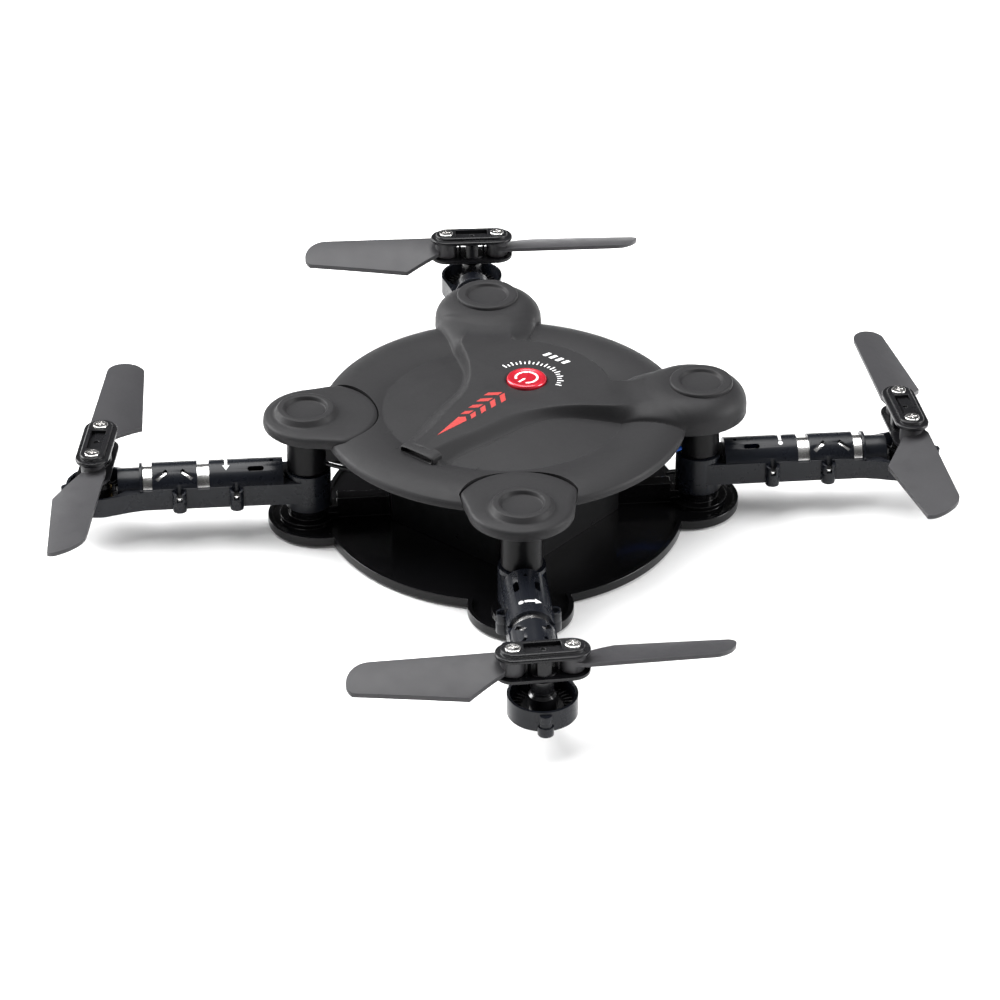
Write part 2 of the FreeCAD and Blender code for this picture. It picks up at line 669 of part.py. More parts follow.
# ---- gears and rotor ----
def make_pinion():
    """Motor shaft with its pressed-on pinion and the cup-shaped winding that turns with it."""
    face_start = ARM_LENGTH - CROWN_MEAN_RADIUS - 0.7
    face_end = ARM_LENGTH - CROWN_MEAN_RADIUS + 0.7
    root, tip = PINION_RADIUS - 0.33, PINION_RADIUS + 0.25
    tooth = Part.Face(Part.makePolygon([
        V(0, -0.2, -root + 0.2), V(0, -0.09, -tip), V(0, 0.09, -tip), V(0, 0.2, -root + 0.2),
        V(0, -0.2, -root + 0.2)])).extrude(V(face_end - face_start, 0, 0))
    shapes = [Part.makeCylinder(root, face_end - face_start, V(0, 0, 0), V(1, 0, 0))]
    for i in range(PINION_TEETH):
        copy = tooth.copy()
        copy.rotate(V(0, 0, 0), V(1, 0, 0), i * 360 / PINION_TEETH)
        shapes.append(copy)
    gear = fuse(shapes)
    gear.translate(V(face_start, 0, MOTOR_Z))
    shaft = cylinder_x(MOTOR_SHAFT, MOTOR_START + 0.2, face_end + 0.3, 0, MOTOR_Z)
    web = cylinder_x(WINDING_INNER + 0.1, MOTOR_START + 1.4, MOTOR_START + 3.0, 0, MOTOR_Z)
    winding = cylinder_x(WINDING_OUTER, MOTOR_START + 1.4, MOTOR_END - 1.3, 0, MOTOR_Z)
    winding = winding.cut(cylinder_x(WINDING_INNER, MOTOR_START, MOTOR_END, 0, MOTOR_Z))
    return fuse([gear, shaft, web, winding])


def make_rotor_shaft(corner):
    """Rotor shaft with its crown gear; a tooth gap faces the pinion."""
    direction, hub = CORNERS[corner]
    teeth_bottom, teeth_top = 7.95, 8.5
    inner, outer = CROWN_MEAN_RADIUS - 0.85, CROWN_MEAN_RADIUS + 0.65
    tooth = Part.Face(Part.makePolygon([
        V(inner, -0.15, teeth_bottom - 0.05), V(inner, -0.08, teeth_top), V(inner, 0.08, teeth_top),
        V(inner, 0.15, teeth_bottom - 0.05), V(inner, -0.15, teeth_bottom - 0.05)
    ])).extrude(V(outer - inner, 0, 0))
    step = 360 / CROWN_TEETH
    first = direction - hub + 180 + step / 2
    teeth = [turned(tooth, first + i * step) for i in range(CROWN_TEETH)]
    disc = cylinder(outer, 7.3, teeth_bottom)
    sleeve = [cylinder(2.4, 7.3, 10.3), cone(2.4, 2.0, 10.3, 10.7), cylinder(1.75, 10.6, 11.3),
              cylinder(2.0, 11.2, 13.6), cylinder(1.5, 13.5, HUB_BOTTOM)]
    shaft = cylinder(SHAFT_RADIUS, 6.3, 18.5)
    return fuse([disc, shaft] + sleeve + teeth)


def make_hub_lower():
    plate = stadium(HUB_LENGTH, HUB_WIDTH, HUB_BOTTOM, 15.2)
    rims = [e for e in plate.Edges if e.BoundBox.ZMax < HUB_BOTTOM + 1e-6]
    plate = plate.makeChamfer(0.25, rims)
    column = cylinder(HUB_COLUMN_RADIUS, 15.1, 18.6)
    gaps = [box(side * 1.7 - 0.5, side * 1.7 + 0.5, -3, 3, 15.5, 18.3) for side in (-1, 1)]
    holes = [cylinder(SHAFT_RADIUS, HUB_BOTTOM - 1, 18.5)]
    holes += [cylinder(0.8, 14.6, 16, side * BLADE_PIVOT) for side in (-1, 1)]
    return cut(fuse([plate, column]), gaps + holes)


def make_hub_upper():
    flange = stadium(HUB_LENGTH, HUB_WIDTH, 18.6, 19.3)
    flange = flange.makeChamfer(0.2, [e for e in flange.Edges if e.BoundBox.ZMin > 19.3 - 1e-6])
    deck = stadium(14.4, 4.5, 19.2, HUB_TOP)
    deck = deck.makeChamfer(0.2, [e for e in deck.Edges if e.BoundBox.ZMin > HUB_TOP - 1e-6])
    plate = fuse([flange, deck])
    pocket = box(-3.2, 3.2, -1.35, 1.35, 19.25, HUB_TOP + 1)
    groove = box(-3.2, 3.2, 0.75, 1.35, 18.95, HUB_TOP + 1)
    holes = [pocket, groove, cylinder(0.5, 18.9, HUB_TOP + 1)]
    for side in (-1, 1):
        holes.append(cylinder(0.8, 18, 21, side * BLADE_PIVOT))
        holes.append(cylinder(1.4, HUB_TOP - 0.4, 21, side * BLADE_PIVOT))
    return cut(plate, holes)


def make_hub_screws():
    screws = []
    for side in (-1, 1):
        x = side * BLADE_PIVOT
        head = cylinder(1.35, HUB_TOP - 0.4, HUB_TOP + 0.25, x)
        head = head.makeFillet(0.2, [e for e in head.Edges if e.BoundBox.ZMin > HUB_TOP + 0.24])
        shank = cylinder(0.8, 14.6, HUB_TOP - 0.3, x)
        cross = [box(x - 0.75, x + 0.75, -0.14, 0.14, HUB_TOP - 0.1, 21),
                 box(x - 0.14, x + 0.14, -0.75, 0.75, HUB_TOP - 0.1, 21)]
        screws.append(cut(fuse([head, shank]), cross))
    return Part.makeCompound(screws)


def blade_planform(handed):
    """Face of the blade seen from above; handed is 1 where the leading edge is towards +Y."""
    lead = [V(x, y * handed, 0) for x, y in BLADE_LEAD + BLADE_TIP]
    trail = [V(x, y * handed, 0) for x, y in BLADE_TRAIL]
    root = [V(x, y * handed, 0) for x, y in BLADE_ROOT]
    edges = [Part.LineSegment(lead[0], lead[1]).toShape(), Part.LineSegment(lead[1], lead[2]).toShape(),
             spline_edge(lead[2:]), spline_edge([lead[-1], trail[0], trail[1]]),
             Part.LineSegment(trail[1], root[0]).toShape(), Part.LineSegment(root[0], root[1]).toShape(),
             Part.LineSegment(root[1], lead[0]).toShape()]
    return Part.Face(Part.Wire(edges))


def make_blade(side, handed):
    """Thin cambered strip at the blade's pitch, trimmed to its outline, on a round root."""
    lead_y, trail_y, camber = 3.6, -7.6, 0.6
    half = BLADE_THICKNESS / 2
    middle_y = (lead_y + trail_y) / 2
    upper = Part.Arc(V(0, lead_y, half), V(0, middle_y, camber + half), V(0, trail_y, half)).toShape()
    lower = Part.Arc(V(0, trail_y, -half), V(0, middle_y, camber - half), V(0, lead_y, -half)).toShape()
    front = Part.LineSegment(V(0, lead_y, -half), V(0, lead_y, half)).toShape()
    back = Part.LineSegment(V(0, trail_y, half), V(0, trail_y, -half)).toShape()
    strip = Part.Face(Part.Wire([upper, back, lower, front])).extrude(V(40, 0, 0))
    strip.rotate(V(0, 0, 0), V(1, 0, 0), BLADE_PITCH)
    if handed < 0:
        strip = strip.mirror(V(0, 0, 0), V(0, 1, 0))
    strip.translate(V(0, 0, BLADE_Z))
    sheet = strip.common(prism(blade_planform(handed), 5, 30))
    root = cylinder(HUB_END_RADIUS, *BLADE_ROOT_Z)
    blade = cut(fuse([sheet, root]), [cylinder(0.86, 10, 25)])
    blade.translate(V(BLADE_PIVOT, 0, 0))
    return turned(blade, 0 if side > 0 else 180)


# ---- write every piece ----
def main():
    os.makedirs("parts", exist_ok=True)
    export("top_shell", make_top_shell())
    export("front_post_caps", make_front_post_caps())
    export("bottom_shell", make_bottom_shell())
    export("mid_frame", make_mid_frame())
    export("power_button", make_power_button())
    export("nose_window", make_nose_window())
    export("circuit_board", make_circuit_board())
    export("charging_port", make_charging_port())
    export("battery", make_battery())
    export("battery_cover", make_battery_cover())
    export("board_leads", make_board_leads())
    export("pivot_screws", make_pivot_screws())
    upper, lower = arm_halves()
    for corner in CORNERS:
        handed = -1 if corner in CLOCKWISE else 1
        export("arm_upper_" + corner, at_pivot(upper, corner))
        export("arm_lower_" + corner, at_pivot(lower, corner))
        export("arm_screws_" + corner, at_pivot(make_arm_screws(), corner))
        export("motor_" + corner, at_pivot(make_motor(), corner))
        export("motor_leads_" + corner, at_pivot(make_motor_leads(), corner))
        export("motor_pinion_" + corner, at_pivot(make_pinion(), corner))
        export("rotor_shaft_" + corner, at_rotor(make_rotor_shaft(corner), corner))
        export("hub_lower_" + corner, at_rotor(make_hub_lower(), corner))
        export("hub_upper_" + corner, at_rotor(make_hub_upper(), corner))
        export("hub_screws_" + corner, at_rotor(make_hub_screws(), corner))
        export("blade_a_" + corner, at_rotor(make_blade(1, handed), corner))
        export("blade_b_" + corner, at_rotor(make_blade(-1, handed), corner))


main()
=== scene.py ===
import json
import math

import bmesh
import bpy
import numpy as np
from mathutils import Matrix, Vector


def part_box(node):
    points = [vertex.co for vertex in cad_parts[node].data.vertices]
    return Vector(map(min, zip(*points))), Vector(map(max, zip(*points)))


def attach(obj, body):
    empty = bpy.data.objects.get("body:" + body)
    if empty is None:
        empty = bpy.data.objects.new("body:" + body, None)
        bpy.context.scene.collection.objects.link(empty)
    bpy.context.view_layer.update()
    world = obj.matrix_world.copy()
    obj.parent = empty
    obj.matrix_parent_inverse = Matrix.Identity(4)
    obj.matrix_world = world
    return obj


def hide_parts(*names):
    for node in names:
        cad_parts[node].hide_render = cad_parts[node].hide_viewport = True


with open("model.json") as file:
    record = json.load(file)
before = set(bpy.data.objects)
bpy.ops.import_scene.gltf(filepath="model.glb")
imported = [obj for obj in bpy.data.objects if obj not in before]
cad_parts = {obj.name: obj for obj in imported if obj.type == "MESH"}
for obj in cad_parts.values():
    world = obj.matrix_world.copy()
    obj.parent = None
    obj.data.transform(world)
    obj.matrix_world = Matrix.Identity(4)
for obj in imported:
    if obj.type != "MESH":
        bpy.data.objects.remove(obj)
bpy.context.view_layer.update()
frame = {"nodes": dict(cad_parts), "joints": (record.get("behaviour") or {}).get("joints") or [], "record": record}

# The mini palm drone's looks. Lengths named here are in millimetres unless a comment says otherwise.
MM = 0.001
FRONT, REAR = ("front_left", "front_right"), ("rear_left", "rear_right")
CORNERS = FRONT + REAR
joints = {joint["name"]: joint for joint in frame["joints"]}


def axis_of(joint):
    """Where a joint's axis crosses the ground plane, in millimetres."""
    x, y = joints[joint]["pos_m"][:2]
    return np.array([x, y]) / MM


FOLD = {corner: axis_of("arm_fold_" + corner) for corner in CORNERS}
OUTWARD = {corner: FOLD[corner] / np.linalg.norm(FOLD[corner]) for corner in CORNERS}
SIDEWAYS = {corner: np.array([-way[1], way[0]]) for corner, way in OUTWARD.items()}


# ---- materials ----
def node(tree, kind, settings=None, **inputs):
    """Adds a node. An input is a value or another node's output; an underscore in its name is a space."""
    made = tree.nodes.new(kind)
    for name, value in (settings or {}).items():
        setattr(made, name, value)
    for name, value in inputs.items():
        socket = made.inputs[int(name[1:]) if name[0] == "_" else name.replace("_", " ")]
        if isinstance(value, bpy.types.NodeSocket):
            tree.links.new(value, socket)
        else:
            socket.default_value = value
    return made


def shade(colour, factor):
    return tuple(min(1.0, c * factor) for c in colour) + (1.0,)


def new_tree(name):
    material = bpy.data.materials.new(name)
    material.use_nodes = True
    material.node_tree.nodes.clear()
    return material, material.node_tree


def moulded(name, colour, roughness, grain=0.0, grain_size=0.12, variation=0.12, edge_wear_and_highlight=0.6,
            coat=0.0, metallic=0.0, specular=0.5, ripple=0.0):
    """Moulded plastic or lacquer: slow colour drift, uneven gloss, fine grain, and edges lightened partly as
    rubbed wear and partly as a painted highlight.
    grain_size is in millimetres; ripple is the height of slow waves, for a mould's flow."""
    material, tree = new_tree(name)
    place = node(tree, "ShaderNodeTexCoord").outputs["Object"]
    drift = node(tree, "ShaderNodeTexNoise", Vector=place, Scale=90.0, Detail=4.0).outputs["Fac"]
    smudge = node(tree, "ShaderNodeTexNoise", Vector=place, Scale=260.0, Detail=6.0,
                  Roughness=0.7).outputs["Fac"]
    fine = node(tree, "ShaderNodeTexNoise", Vector=place, Scale=1.0 / (grain_size * MM),
                Detail=2.0).outputs["Fac"]
    base = node(tree, "ShaderNodeMix", {"data_type": "RGBA"}, _0=drift,
                _6=shade(colour, 1 - variation), _7=shade(colour, 1 + variation)).outputs[2]
    speck = node(tree, "ShaderNodeMapRange", Value=fine, From_Min=0.35, From_Max=0.75,
                 To_Min=0.0, To_Max=0.12).outputs[0]
    base = node(tree, "ShaderNodeMix", {"data_type": "RGBA"}, _0=speck, _6=base,
                _7=shade(colour, 2.2)).outputs[2]
    # edges, convex and concave alike, are lightened towards a pale colour: partly rubbed wear, partly a painted
    # highlight along the edge
    around = node(tree, "ShaderNodeBevel", {"samples": 4}, Radius=0.25 * MM).outputs[0]
    true = node(tree, "ShaderNodeNewGeometry").outputs["Normal"]
    edge = node(tree, "ShaderNodeVectorMath", {"operation": "DOT_PRODUCT"}, _0=around,
                _1=true).outputs["Value"]
    rubbed_edge_and_highlight = node(tree, "ShaderNodeMapRange", Value=edge, From_Min=0.99, From_Max=0.85,
               To_Min=0.0, To_Max=edge_wear_and_highlight).outputs[0]
    rubbed_edge_and_highlight = node(tree, "ShaderNodeMath", {"operation": "MULTIPLY"}, _0=rubbed_edge_and_highlight, _1=smudge).outputs[0]
    # the pale edge colour, for rubbed wear and for the painted edge highlight
    worn_and_highlit = shade([c * 0.7 + 0.05 for c in colour], 1.6)
    base = node(tree, "ShaderNodeMix", {"data_type": "RGBA"}, _0=rubbed_edge_and_highlight, _6=base, _7=worn_and_highlit).outputs[2]
    gloss = node(tree, "ShaderNodeMapRange", Value=smudge, From_Min=0.3, From_Max=0.7,
                 To_Min=roughness * 0.88, To_Max=min(1.0, roughness * 1.15)).outputs[0]
    slow = node(tree, "ShaderNodeBump", Height=drift, Strength=ripple, Distance=0.2 * MM).outputs[0]
    bump = node(tree, "ShaderNodeBump", Height=fine, Strength=grain, Distance=0.02 * MM,
                Normal=slow).outputs[0]
    surface = node(tree, "ShaderNodeBsdfPrincipled", Base_Color=base, Roughness=gloss, Metallic=metallic,
                   Normal=bump, Coat_Weight=coat, Coat_Roughness=0.08, Specular_IOR_Level=specular)
    node(tree, "ShaderNodeOutputMaterial", Surface=surface.outputs[0])
    return material


def metal(name, colour, roughness, lines=(900.0, 900.0, 900.0), variation=0.08, scratch=0.25):
    """Drawn, turned or plated metal: streaks along one direction, and dull patches."""
    material, tree = new_tree(name)
    place = node(tree, "ShaderNodeTexCoord").outputs["Object"]
    stretched = node(tree, "ShaderNodeMapping", Vector=place, Scale=lines).outputs[0]
    streak = node(tree, "ShaderNodeTexNoise", Vector=stretched, Scale=4.0, Detail=5.0).outputs["Fac"]
    patch = node(tree, "ShaderNodeTexNoise", Vector=place, Scale=700.0, Detail=3.0).outputs["Fac"]
    base = node(tree, "ShaderNodeMix", {"data_type": "RGBA"}, _0=streak, _6=shade(colour, 1 - variation),
                _7=shade(colour, 1 + variation)).outputs[2]
    gloss = node(tree, "ShaderNodeMapRange", Value=patch, From_Min=0.3, From_Max=0.7,
                 To_Min=roughness * 0.8, To_Max=roughness * 1.25).outputs[0]
    bump = node(tree, "ShaderNodeBump", Height=streak, Strength=scratch, Distance=0.01 * MM).outputs[0]
    surface = node(tree, "ShaderNodeBsdfPrincipled", Base_Color=base, Roughness=gloss, Metallic=1.0,
                   Normal=bump)
    node(tree, "ShaderNodeOutputMaterial", Surface=surface.outputs[0])
    return material


def one_lead_lit(name, plain, bright):
    """Wire insulation: bright on the left side of the rear left diagonal, and dark elsewhere."""
    material, tree = new_tree(name)
    place = node(tree, "ShaderNodeTexCoord").outputs["Object"]
    parts = node(tree, "ShaderNodeSeparateXYZ", Vector=place).outputs
    both = node(tree, "ShaderNodeMath", {"operation": "MINIMUM"}, _0=parts[0], _1=parts[1]).outputs[0]
    there = node(tree, "ShaderNodeMath", {"operation": "GREATER_THAN"}, _0=both, _1=0.0).outputs[0]
    side = node(tree, "ShaderNodeMath", {"operation": "GREATER_THAN"}, _0=parts[0], _1=parts[1]).outputs[0]
    pick = node(tree, "ShaderNodeMath", {"operation": "MULTIPLY"}, _0=there, _1=side).outputs[0]
    noise = node(tree, "ShaderNodeTexNoise", Vector=place, Scale=1500.0, Detail=3.0).outputs["Fac"]
    base = node(tree, "ShaderNodeMix", {"data_type": "RGBA"}, _0=pick, _6=plain + (1.0,),
                _7=bright + (1.0,)).outputs[2]
    base = node(tree, "ShaderNodeMix", {"data_type": "RGBA", "blend_type": "MULTIPLY"}, _0=noise, _6=base,
                _7=(0.75, 0.75, 0.75, 1.0)).outputs[2]
    gloss = node(tree, "ShaderNodeMapRange", Value=noise, To_Min=0.28, To_Max=0.5).outputs[0]
    surface = node(tree, "ShaderNodeBsdfPrincipled", Base_Color=base, Roughness=gloss)
    node(tree, "ShaderNodeOutputMaterial", Surface=surface.outputs[0])
    return material


# the wear argument sets how far edges are lightened, as rubbed wear and as a painted highlight
FINISH = {
    "shell_matte": moulded("shell_matte", (0.019, 0.0187, 0.0197), 0.5, grain=0.5, grain_size=0.16,
                           edge_wear_and_highlight=0.3, specular=0.15),
    "tray_gloss": moulded("tray_gloss", (0.004, 0.004, 0.0045), 0.16, variation=0.3, ripple=0.06,
                          edge_wear_and_highlight=0.3, specular=0.28),
    "frame_gloss": moulded("frame_gloss", (0.003, 0.003, 0.0035), 0.3, variation=0.3, ripple=0.05,
                           edge_wear_and_highlight=0.0, specular=0.14),
    "smoked_window": moulded("smoked_window", (0.004, 0.004, 0.005), 0.07, edge_wear_and_highlight=0.0),
    "board_green": moulded("board_green", (0.02, 0.12, 0.05), 0.35, variation=0.3),
    "port_metal": metal("port_metal", (0.62, 0.62, 0.63), 0.3),
    "battery_foil": metal("battery_foil", (0.5, 0.5, 0.52), 0.38, lines=(300.0, 900.0, 300.0)),
    "lead_insulation": one_lead_lit("lead_insulation", (0.008, 0.008, 0.009), (0.01, 0.14, 0.75)),
    "screw_steel": metal("screw_steel", (0.78, 0.77, 0.76), 0.2),
    "button_red": moulded("button_red", (0.62, 0.012, 0.03), 0.3, grain=0.35, grain_size=0.06, coat=0.6,
                          metallic=0.55, edge_wear_and_highlight=0.2),
    "arm_plastic": moulded("arm_plastic", (0.006, 0.007, 0.010), 0.28, grain=0.08, variation=0.2,
                           ripple=0.04, edge_wear_and_highlight=0.0, specular=0.25),
    "motor_can": metal("motor_can", (0.86, 0.85, 0.84), 0.22, lines=(250.0, 250.0, 2500.0)),
    "pinion_metal": metal("pinion_metal", (0.62, 0.45, 0.2), 0.3),
    "gear_nylon": moulded("gear_nylon", (0.008, 0.008, 0.009), 0.18, variation=0.3),
    "hub_plastic": moulded("hub_plastic", (0.006, 0.006, 0.007), 0.28, variation=0.25, ripple=0.05,
                           edge_wear_and_highlight=0.0, specular=0.26),
    "blade_plastic": moulded("blade_plastic", (0.034, 0.0335, 0.036), 0.42, grain=0.3, grain_size=0.1,
                             edge_wear_and_highlight=0.35, specular=0.3),
}
PAINT = {
    "salmon": moulded("marking_salmon", (0.36, 0.035, 0.032), 0.5, grain=0.3, edge_wear_and_highlight=0.0, specular=0.3),
    "white": moulded("marking_white", (0.80, 0.80, 0.80), 0.45, grain=0.3, variation=0.05, edge_wear_and_highlight=0.0),
}

# ---- CAD pieces keep their shape and get rounded edges and their finish ----
EDGE = {                      # width of the rounding along sharp edges
    "shell_matte": 0.30, "tray_gloss": 0.14, "frame_gloss": 0.18, "arm_plastic": 0.16,
    "hub_plastic": 0.14, "blade_plastic": 0.16, "button_red": 0.1, "screw_steel": 0.05,
    "motor_can": 0.06, "battery_foil": 0.3, "port_metal": 0.06, "smoked_window": 0.06,
    "board_green": 0.04,
}


def rounded(obj, width):
    """Welds the faces, clears flat ones of stray edges, and rounds the sharp edges."""
    weld = obj.modifiers.new("weld", "WELD")
    weld.merge_threshold = 0.002 * MM
    flat = obj.modifiers.new("flat", "DECIMATE")
    flat.decimate_type = "DISSOLVE"
    flat.angle_limit = math.radians(0.6)
    bevel = obj.modifiers.new("edges", "BEVEL")
    bevel.width = width * MM
    bevel.segments = 2
    bevel.limit_method = "ANGLE"
    bevel.angle_limit = math.radians(32)
    bevel.harden_normals = False
    bevel.miter_outer = "MITER_ARC"
    even = obj.modifiers.new("even", "WEIGHTED_NORMAL")
    even.keep_sharp = True
    for polygon in obj.data.polygons:
        polygon.use_smooth = True


slot_of = {part["node"]: part["material_slot"] for part in frame["record"]["subparts"]}
for name, obj in frame["nodes"].items():
    slot = slot_of[name]
    if not obj.material_slots:
        obj.data.materials.append(None)
    for index in range(len(obj.material_slots)):
        obj.material_slots[index].material = FINISH[slot]
    if slot in EDGE:
        rounded(obj, EDGE[slot])


# ---- mesh pieces ----
def piece(name, points, faces, material, body, sharp=35.0):
    """A new mesh from points in millimetres. Edges sharper than that many degrees stay crisp."""
    mesh = bpy.data.meshes.new(name)
    mesh.from_pydata((np.asarray(points, float) * MM).tolist(), [], faces)
    build = bmesh.new()
    build.from_mesh(mesh)
    bmesh.ops.remove_doubles(build, verts=build.verts, dist=1e-7)
    bmesh.ops.dissolve_degenerate(build, edges=build.edges, dist=1e-8)
    bmesh.ops.recalc_face_normals(build, faces=build.faces)
    for face in build.faces:
        face.smooth = True
    for edge in build.edges:
        if len(edge.link_faces) == 2:
            edge.smooth = edge.calc_face_angle(0.0) < math.radians(sharp)
    build.to_mesh(mesh)
    build.free()
    mesh.materials.append(material)
    obj = bpy.data.objects.new(name, mesh)
    bpy.context.scene.collection.objects.link(obj)
    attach(obj, body)
    return obj


def grid_faces(rows, columns, closed_rows=False, closed_columns=False):
    """Quads of a grid of points stored row by row."""
    faces = []
    for i in range(rows if closed_rows else rows - 1):
        for j in range(columns if closed_columns else columns - 1):
            a, b = i * columns + j, i * columns + (j + 1) % columns
            c = (i + 1) % rows * columns
            faces.append((a, b, c + (j + 1) % columns, c + j))
    return faces


# ---- top shell: one smooth moulded skin ----
DISC_RADIUS, VALLEY_RADIUS, CREST_RADIUS = 33.8, 22.4, 28.3
VALLEY_Z, CREST_Z, DOME_Z, RIM_Z = 22.7, 23.55, 24.25, 22.15
CREST_INWARD, CREST_OUTWARD = 2.1, 2.2    # how late each slope of the crest falls away
RIM_ROUND, RIM_WIDTH = 0.3, 0.4
DISC_BOTTOM, DISC_INSIDE, BOSS_BOTTOM = 21.0, 21.6, 20.6
SHELF_Z = 21.4                            # the cut-out's floor under a front pad, and the pad's underside
LIP = 1.2
RIDGE_TOP, SPINE_CROWN, NECK_DIP = 26.0, 0.3, 0.5
# the ridge's foot on the drone's left: from the nose to the rear left boss, and back to the rear arc
RIDGE_SIDE = [(4.9, -28.0), (5.0, -24.4), (5.8, -18.0), (7.1, -13.0), (8.1, -8.2), (9.0, -3.4),
              (10.6, 0.6), (13.2, 3.9), (17.2, 7.1), (22.8, 11.2), (27.2, 13.9), (30.4, 16.2)]
RIDGE_REAR = [(16.0, 28.6), (14.6, 26.6), (12.7, 23.1), (12.0, 20.9), (11.6, 17.4)]
RIDGE_FALL, FALL_START = math.tan(math.radians(2.3)), 6.0
SPINE_FLANK, LEG_FLANK, REAR_FLANK, BOSS_FLANK = 3.3, 1.3, 0.55, 4.4
FLANK_FOOT, FLANK_SHOULDER, FOOT_STEP = 1.7, 1.8, 0.1
NECK_AWAY, NECK_WIDTH = 11.6, 3.0         # a shallow dip across each leg, measured from its boss
NOSE_Y = -23.4
BOSS_CENTRE, BOSS_RADIUS = 34.9, 10.15
BOSS_FLAT, BOSS_DROP, BOSS_BLEND = 5.6, 3.9, 0.75
RING_RADIUS, RING_FOOT, RING_BED = 5.87, 26.4, 26.25
button_low, button_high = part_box("power_button")
BUTTON = np.array([(button_low.x + button_high.x) / 2, (button_low.y + button_high.y) / 2]) / MM
CAP = (button_high.x - button_low.x) / 2 / MM
GAP = 0.15                                # round the button, and between a front pad and the shell
BUTTON_HOLE, HOLE_DROP, HOLE_ROUND = CAP + GAP, 0.12, 0.35
STEM_HOLE, BUTTON_SEAT = 1.4, 23.2
# a front pad's outline about its boss centre: its two radii, and where its straight sides begin and end
PAD_INNER, PAD_OUTER = 11.6, 9.5
PAD_LEAN, PAD_MEET = math.radians(115.0), math.radians(86.5)
NOTCH_REACH = math.radians(7.0)           # how far from a cut-out's edge the shell's columns lean with it


def smooth_max(a, b, reach):
    share = np.clip(0.5 + 0.5 * (a - b) / reach, 0, 1)
    return b + (a - b) * share + reach * share * (1 - share)


def step(x, low, high):
    t = np.clip((x - low) / (high - low), 0, 1)
    return t * t * (3 - 2 * t)


def curve_through(points, pieces=6):
    """A smooth line through a few points (Catmull-Rom)."""
    p = np.array([points[0]] + list(points) + [points[-1]], float)
    out = []
    for i in range(1, len(p) - 2):
        for t in np.linspace(0, 1, pieces, endpoint=False):
            a, b, c, d = p[i - 1], p[i], p[i + 1], p[i + 2]
            out.append(0.5 * (2 * b + (c - a) * t + (2 * a - 5 * b + 4 * c - d) * t * t
                              + (3 * b - a - 3 * c + d) * t ** 3))
    out.append(p[-2])
    return out


def ridge_outline():
    side = curve_through(RIDGE_SIDE)
    rear = curve_through(RIDGE_REAR)
    end = rear[-1]
    reach = math.hypot(*end)
    first, last = math.atan2(end[1], end[0]), math.atan2(end[1], -end[0])
    arc = [reach * np.array([math.cos(a), math.sin(a)]) for a in np.linspace(first, last, 24)[1:-1]]
    half = side + rear
    mirrored = [np.array([-x, y]) for x, y in reversed(half)]
    return np.array(half + arc + mirrored)


OUTLINE = ridge_outline()


def outline_depth(x, y):
    """Signed distance inside the ridge's outline."""
    shape = x.shape
    points = np.stack([x.ravel(), y.ravel()], 1)
    nearest = np.full(len(points), 1e9)
    inside = np.zeros(len(points), bool)
    for a, b in zip(OUTLINE, np.roll(OUTLINE, -1, axis=0)):
        run = b - a
        t = np.clip(((points - a) @ run) / max(run @ run, 1e-12), 0, 1)
        away = points - a - t[:, None] * run
        nearest = np.minimum(nearest, np.hypot(away[:, 0], away[:, 1]))
        crosses = (a[1] > points[:, 1]) != (b[1] > points[:, 1])
        with np.errstate(divide="ignore", invalid="ignore"):
            at = a[0] + (points[:, 1] - a[1]) / (b[1] - a[1]) * run[0]
        inside ^= crosses & (points[:, 0] < at)
    return np.where(inside, nearest, -nearest).reshape(shape)


